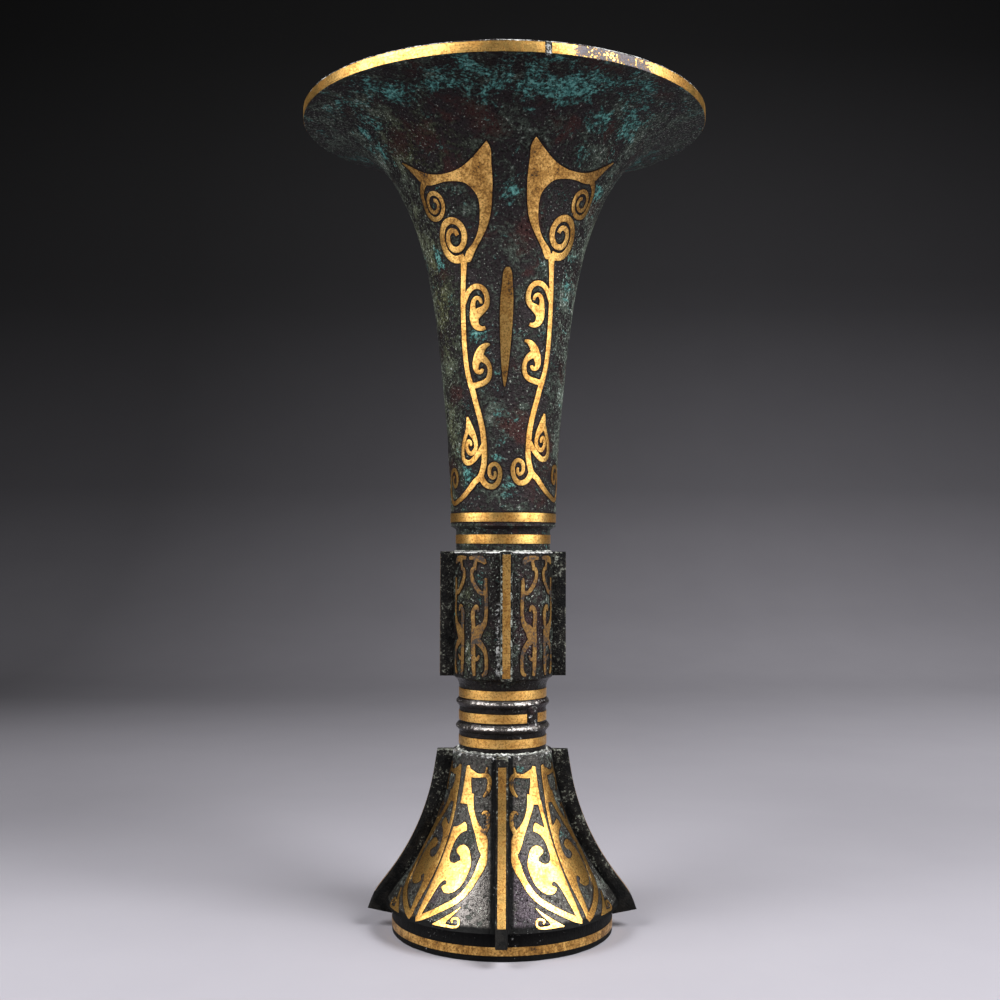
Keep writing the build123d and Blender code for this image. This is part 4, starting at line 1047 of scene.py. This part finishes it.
def foot_flange_edge():
    """Outer edge of a foot flange, from its top to its tip."""
    beside = SKIRT_PROFILE[6:-4:12] + np.array([FOOT_FLANGE_REACH, 0])
    start = (SKIRT_TOP_RADIUS + FOOT_FLANGE_REACH, FOOT_FLANGE_TOP)
    beside = [point for point in beside if FOOT_FLANGE_TIP[1] + 3 < point[1] < FOOT_FLANGE_TOP - 2]
    return smooth_line([start, *beside, FOOT_FLANGE_TIP], 70)


def foot_flange_outline():
    edge = foot_flange_edge()
    inner = SKIRT_PROFILE[::-1] - np.array([FLANGE_TONGUE, 0])
    root = BASE_RING_RADIUS + PLAY
    bottom = spread([FOOT_FLANGE_TIP, (root, FOOT_FLANGE_ROOT), (root, SKIRT_END)], 1.2)
    top = spread([inner[-1], (SKIRT_TOP_RADIUS, FOOT_TOP - 0.1), edge[0]], 1.2)
    return list(edge) + bottom[1:] + list(inner[::3]) + top[1:-1]


def knop_flange_outline():
    inner = KNOP_RADIUS - FLANGE_TONGUE
    outer = KNOP_RADIUS + KNOP_FLANGE_REACH
    return spread([(inner, KNOP_BOTTOM), (outer, KNOP_BOTTOM), (outer, KNOP_TOP), (inner, KNOP_TOP),
                   (inner, KNOP_BOTTOM)], 1.2)[:-1]


def add_flange_strip(node, edge, turn, material):
    """Gold strip let into a flange's edge, from the edge's (radius, height) points."""
    edge = np.array(edge)
    way = directions(edge)
    out = np.where(way[:, 1:] > 0, 1, -1) * np.stack((way[:, 1], -way[:, 0]), axis=1)
    middle = np.zeros(len(edge))
    origins = spun(np.stack((middle, -edge[:, 0], edge[:, 1]), axis=1), turn)
    normals = spun(np.stack((middle, -out[:, 0], out[:, 1]), axis=1), turn)
    across = spun(np.tile((1.0, 0.0, 0.0), (len(edge), 1)), turn)
    add_strip(node, origins, across, normals, STRIP_WIDTH, material, False, rubbed=FLANGE_STRIP_WEAR_AND_SHADE)


def add_flanges(section, outline, edge, turn, black, gold, crusts_and_highlights):
    """The four flanges of a section and the gold on their edges."""
    for name, quarter in QUARTERS.items():
        add_flange(f"{section}_flange_{name}", outline, quarter + turn, black, crusts_and_highlights[quarter % 180])
        add_flange_strip(f"{section}_flange_strip_{name}", edge, quarter + turn, gold)


def add_bead(section, radius, level, size, material):
    """Lumpy ring of solder in the corner of a ledge."""
    def wave(turn, scale, z):
        return noise.noise(Vector((math.sin(turn) * scale, math.cos(turn) * scale, z)))

    places = []
    for column in range(BEAD_COLUMNS):
        turn = 2 * math.pi * column / BEAD_COLUMNS
        lump = 0.45 + 1.1 * wave(turn, 4, level * 0.1) ** 2 + 0.5 * wave(turn, 14, level * 0.3)
        reach = size * min(max(lump, 0.25), 1.35)
        for k in range(BEAD_ARC):
            swing = math.pi / 2 * k / (BEAD_ARC - 1)
            grain = 1 + 0.25 * wave(turn, 30, k * 0.8)
            out = radius - 0.05 + reach * math.cos(swing) * grain
            up = level - 0.02 + reach * math.sin(swing) * grain * 0.9
            places.append((out * math.sin(turn), -out * math.cos(turn), up))
    faces = ring_faces(BEAD_COLUMNS, BEAD_ARC)
    add_piece(f"{section}_solder_lumps", f"{section}_solder_bead", places, faces, material, {})


def leaf_wear(name, angle, height):
    """The horns of the leaf are browner than its stems."""
    return HORN_WEAR * fade(height, 236, 246)


def foot_wear(name, angle, height):
    """Strokes beside the flanges are rubbed, the upper hooks most, and so are the outer half panels."""
    outer = OUTER_PANEL_WEAR if name.endswith(("left_left", "right_right")) else 0.0
    return np.maximum(outer, fade(angle, 22, 30) * np.maximum(fade(height, 32, 40), 0.1))


def build_beaker(gold):
    spines = [(name, angle + LEAF_TURN, 1, 0.0) for name, angle in FACES.items()]
    sheets = [(leaf_motif(), half_copies(FACES, LEAF_TURN, LEAF_SLIP), "leaf_scroll", leaf_wear),
              (Motif(TRUMPET, 0.0, [LEAF_SPINE]), spines, "leaf_spine", SPINE_WEAR_AND_SHADE)]

    def marks(angle, radius, height):
        bands = band_distance(height, [TRUMPET_BAND, NECK_BAND])
        distance = np.minimum(motif_distance(sheets, angle, height), bands)
        near_gold = np.where(radius < TRUMPET.radius(height) - SKIN, 0, fade(distance, GOLD_HALO, 0))
        seam = (np.abs(wrapped(angle) - np.mean(RIM_SEAM)) < 1.2) & (height > RIM_LOW)
        # Painted highlight with wear: the lip's outer corner turns pale
        outer = fade(radius, RIM_RADIUS - 1.1, RIM_RADIUS - 0.5)
        lip = fade(height, RIM_BAND[1], RIM_BAND[1] + 0.4) * (0.25 + 0.65 * outer)
        # Painted shade just under the step at the trumpet's foot
        soot = 0.35 * fade(height, TRUMPET_FOOT, TRUMPET_FOOT - 2)
        return {"near_gold": near_gold, "crust": np.where(seam, 0.55, lip), "soot": soot}

    lathe("beaker", beaker_profile(), bronze_material("trumpet_bronze"), marks)
    for sheet in sheets:
        add_sheets(*sheet, gold)
    add_band("trumpet_foot_band", TRUMPET.radius(np.mean(TRUMPET_BAND)), TRUMPET_BAND, gold)
    add_band("neck_band", NECK_RADIUS, NECK_BAND, gold)
    add_band("rim_band", RIM_RADIUS, RIM_BAND, gold, RIM_SEAM, rim_wear)


def knop_marks(sheets):
    """What colours the knop: gold beds, crust with a painted highlight on top, painted glints on the ridges
    and bridge, crust in the corners, and polish with a painted highlight on the ridges' upper halves.
    """
    def marks(angle, radius, height):
        on_bridge = np.abs(wrapped(angle - BRIDGE_MIDDLE)) < BRIDGE_HALF_SPAN
        bands = band_distance(height, RING_BANDS.values())
        bands = np.where(on_bridge & (np.abs(height - np.mean(RIDGE_LEVELS)) < 4), FAR, bands)
        distance = np.where(height > KNOP_BOTTOM, motif_distance(sheets, angle, height), bands)
        # Painted highlight along the knop's top edge
        crust = fade(height, KNOP_TOP - 0.9, KNOP_TOP - 0.4)
        raised = fade(radius, RING_NECK_RADIUS + 0.2, RING_NECK_RADIUS + 0.7)
        polished = np.zeros(len(height))
        for level in RIDGE_LEVELS:
            # Painted glints: pale specks along each ridge's top
            crust = np.maximum(crust, 0.25 * (np.abs(height - level - 0.5) < 0.9))
            # Painted highlight: each ridge's upper half gets the pale polished tone in full, the lower half
            # only a fifth of it
            upper_half = np.maximum(fade(height, level - 0.5, level + 0.3), 0.2)
            polished = np.where(np.abs(height - level) < RIDGE_HALF_HEIGHT, raised * upper_half, polished)
        bridge = on_bridge & (radius > RING_NECK_RADIUS + 0.4) & (height < RING_NECK_TOP)
        left = (KNOP_TURN - angle) % 180
        corner = fade(left, 5, 7) * fade(left, 13, 10) * fade(height, KNOP_BOTTOM, KNOP_BOTTOM + 2)
        corner = corner * fade(height, KNOP_BOTTOM + 32, KNOP_BOTTOM + 24)
        # Painted glints on the bridge, and crust in the corners beside the flanges
        crust = np.max([crust, 0.3 * bridge, 0.62 * corner], axis=0)
        clean = fade(height, RING_NECK_TOP, RING_NECK_TOP - 2)
        grit = np.where(height > KNOP_BOTTOM, 0.4, 0.0)
        near_gold = fade(distance, GOLD_HALO, 0)
        return {"near_gold": near_gold, "crust": crust, "clean": clean, "flank": grit, "polished": polished}

    return marks


def build_knop(gold, black):
    sheets = [(knop_motif(), half_copies(CORNERS, KNOP_PANEL_TURN), "knop_inlay", 0.0)]
    outer = KNOP_RADIUS + KNOP_FLANGE_REACH

    def top_crust_and_highlight(points):
        # Painted highlight along the flange's top edge
        return 0.5 * fade(points[:, 1], KNOP_TOP - 1.0, KNOP_TOP - 0.4)

    def edge_crust_and_highlight(points):
        # Pale lines at the front edge, crust at the root, and the top's painted highlight
        radius, height, offset = points.T
        edge = (radius > outer - 0.5) & (height > KNOP_BOTTOM + 1.5)
        root = (offset < -1.5) & (radius < KNOP_RADIUS + 2.5) & (height < KNOP_TOP - 14)
        return np.max([top_crust_and_highlight(points), 0.5 * edge, 0.3 * root], axis=0)

    lathe("knop", knop_profile(), bronze_material("knop_bronze"), knop_marks(sheets), bridge_swell)
    add_sheets(*sheets[0], gold_material("knop_gold"))
    for name, band in RING_BANDS.items():
        gap = MIDDLE_BAND_GAP if name == "middle" else None
        add_band(f"ring_band_{name}", RING_NECK_RADIUS, band, gold, gap)
    heights = np.linspace(KNOP_BOTTOM + STRIP_END, KNOP_TOP - STRIP_END, 60)
    edge = np.column_stack((np.full(60, outer), heights))
    add_flanges("knop", knop_flange_outline(), edge, KNOP_TURN, black, gold, {0: edge_crust_and_highlight, 90: top_crust_and_highlight})


def foot_marks(sheets):
    """What colours the foot: gold beds, painted shade by its flanges and under its lower edge, crust and a
    painted highlight on its top edge, and polish with a painted highlight on each panel.
    """
    def marks(angle, radius, height):
        outside = radius >= SKIRT.radius(height) - SKIN
        distance = np.where(height > SKIRT_END, motif_distance(sheets, angle, height),
                            band_distance(height, [BASE_BAND]))
        near_gold = np.where(outside, fade(distance, GOLD_HALO, 0), 0)
        beside = np.abs((angle - FOOT_TURN + 45) % 90 - 45) * np.pi / 180 * radius - FLANGE_THICKNESS / 2
        # Painted shade on the base ring under the skirt's edge and in the corners beside the flanges
        soot = np.maximum(fade(height, SKIRT_END + 3.0, SKIRT_END + 0.4), 0.7 * fade(beside, 3.0, 1.2))
        # Painted highlight with crust along the skirt's top edge
        crust = 0.45 * fade(height, FOOT_TOP - 1.6, FOOT_TOP - 0.8)
        left = (FOOT_TURN - angle) % 90
        # Polish and painted highlight: a pale patch left of each flange, fading towards the flange and
        # upwards
        polished = 0.5 * fade(left, 4, 18) * fade(left, 28, 22) * fade(height, 34, 24) * outside
        return {"near_gold": near_gold, "soot": soot, "crust": crust, "polished": polished}

    return marks


def build_foot(gold, black):
    copies = half_copies(CORNERS, FOOT_PANEL_TURN)
    lost = [copy for copy in copies if copy[0] == UNLINKED]
    kept = [copy for copy in copies if copy[0] != UNLINKED]
    wave = Motif(SKIRT, FOOT_PANEL_MIDDLE, [FOOT_WAVE_CURL], [FOOT_WAVE])
    sheets = [(foot_motif([FOOT_LINK]), kept, "foot_inlay", foot_wear),
              (foot_motif([]), lost, "foot_inlay", foot_wear), (wave, copies, "foot_wave", 0.0)]

    def crust(points):
        # Painted highlight along the flange's top; below zero towards the tip, which strips the dust off as
        # painted shade
        height = points[:, 1]
        top = 0.5 * fade(height, FOOT_FLANGE_TOP - 0.9, FOOT_FLANGE_TOP - 0.3)
        return top - fade(height, SKIRT_END + 4, SKIRT_END + 2)

    lathe("foot", foot_profile(), bronze_material("foot_bronze"), foot_marks(sheets))
    for sheet in sheets:
        add_sheets(*sheet, gold)
    add_band("base_band", BASE_RING_RADIUS, BASE_BAND, gold, rubbed=BASE_BAND_WEAR)
    edge = [point for point in foot_flange_edge() if FOOT_STRIP[0] < point[1] < FOOT_STRIP[1]]
    add_flanges("foot", foot_flange_outline(), edge, FOOT_TURN, black, gold, {0: crust, 90: crust})


def build_beads():
    solder = solder_material()
    add_bead("knop", NECK_RADIUS, KNOP_TOP, KNOP_BEAD, solder)
    add_bead("foot", RING_NECK_RADIUS, FOOT_TOP, FOOT_BEAD, solder)


def add_camera():
    data = bpy.data.cameras.new("camera")
    data.sensor_width = SENSOR
    data.lens = FOCAL_PIXELS * SENSOR / IMAGE_PIXELS
    camera = bpy.data.objects.new("camera", data)
    bpy.context.scene.collection.objects.link(camera)
    place = Matrix.Translation(Vector((CAMERA_SIDE, -CAMERA_DISTANCE, EYE_HEIGHT)) * MM)
    pitch = Matrix.Rotation(math.radians(90 + CAMERA_PITCH), 4, "X")
    roll = Matrix.Rotation(math.radians(CAMERA_ROLL), 4, "Z")
    camera.matrix_world = place @ pitch @ roll
    bpy.context.scene.camera = camera


def painted_stage_shade(side, back, up):
    """Painted shade on the floor and backdrop: it darkens upwards, and to the left behind the vessel."""
    rising = np.interp(up, (0.0, 0.06, 0.22, 0.53, 0.95, 2.4), (1.0, 0.72, 0.34, 0.088, 0.009, 0.005))
    left = np.interp(back, (0.0, 0.23, 0.68, 1.1), (0.0, 0.55, 1.0, 0.83))
    return rising * (1 - left * np.interp(side, (-0.5, 0.35), (0.8, 0.05)))


def add_stage():
    """Pale floor that sweeps up into a backdrop darkened by painted shade."""
    swing = np.linspace(0, math.pi / 2, 24)[1:]
    flat = [(y, 0.0) for y in np.linspace(FLOOR_FRONT, FLOOR_BACK, 60)]
    bend = [(FLOOR_BACK + math.sin(turn) * SWEEP_RADIUS, SWEEP_RADIUS - math.cos(turn) * SWEEP_RADIUS)
            for turn in swing]
    wall = [(FLOOR_BACK + SWEEP_RADIUS, z) for z in np.linspace(SWEEP_RADIUS, WALL_TOP, 30)[1:]]
    line = flat + bend + wall
    sides = np.linspace(-FLOOR_HALF_WIDTH, FLOOR_HALF_WIDTH, 61)
    places = np.array([(side, y, z) for y, z in line for side in sides])
    faces = grid_faces(len(line), len(sides), False)
    floor = add_object("floor", places, faces, floor_material(), {"shade": painted_stage_shade(*places.T)})


def add_lights():
    """Soft area lamps and a dim room."""
    for name, (place, target, size, power) in LAMPS.items():
        data = bpy.data.lights.new(name, "AREA")
        data.shape = "RECTANGLE"
        data.size, data.size_y = size
        data.energy = power
        lamp = bpy.data.objects.new(name, data)
        lamp.location = place
        lamp.rotation_euler = (Vector((0, 0, target)) - Vector(place)).to_track_quat("-Z", "Y").to_euler()
        bpy.context.scene.collection.objects.link(lamp)
    world = bpy.data.worlds.new("dim_room")
    world.use_nodes = True
    background = world.node_tree.nodes["Background"]
    background.inputs["Color"].default_value = (*ROOM, 1.0)
    background.inputs["Strength"].default_value = 1.0
    bpy.context.scene.world = world


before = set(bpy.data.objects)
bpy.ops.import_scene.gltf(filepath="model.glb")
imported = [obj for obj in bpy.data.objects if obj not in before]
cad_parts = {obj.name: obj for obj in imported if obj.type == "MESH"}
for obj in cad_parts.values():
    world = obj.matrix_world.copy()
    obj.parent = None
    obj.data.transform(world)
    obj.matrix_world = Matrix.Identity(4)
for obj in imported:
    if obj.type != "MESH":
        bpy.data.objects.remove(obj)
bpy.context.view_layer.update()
gold_sheet = gold_material("gold_sheet")
flange_black = flange_material()
build_beaker(gold_sheet)
build_knop(gold_sheet, flange_black)
build_foot(gold_sheet, flange_black)
build_beads()
add_stage()
add_lights()
add_camera()
bpy.context.scene.view_settings.view_transform = "Standard"
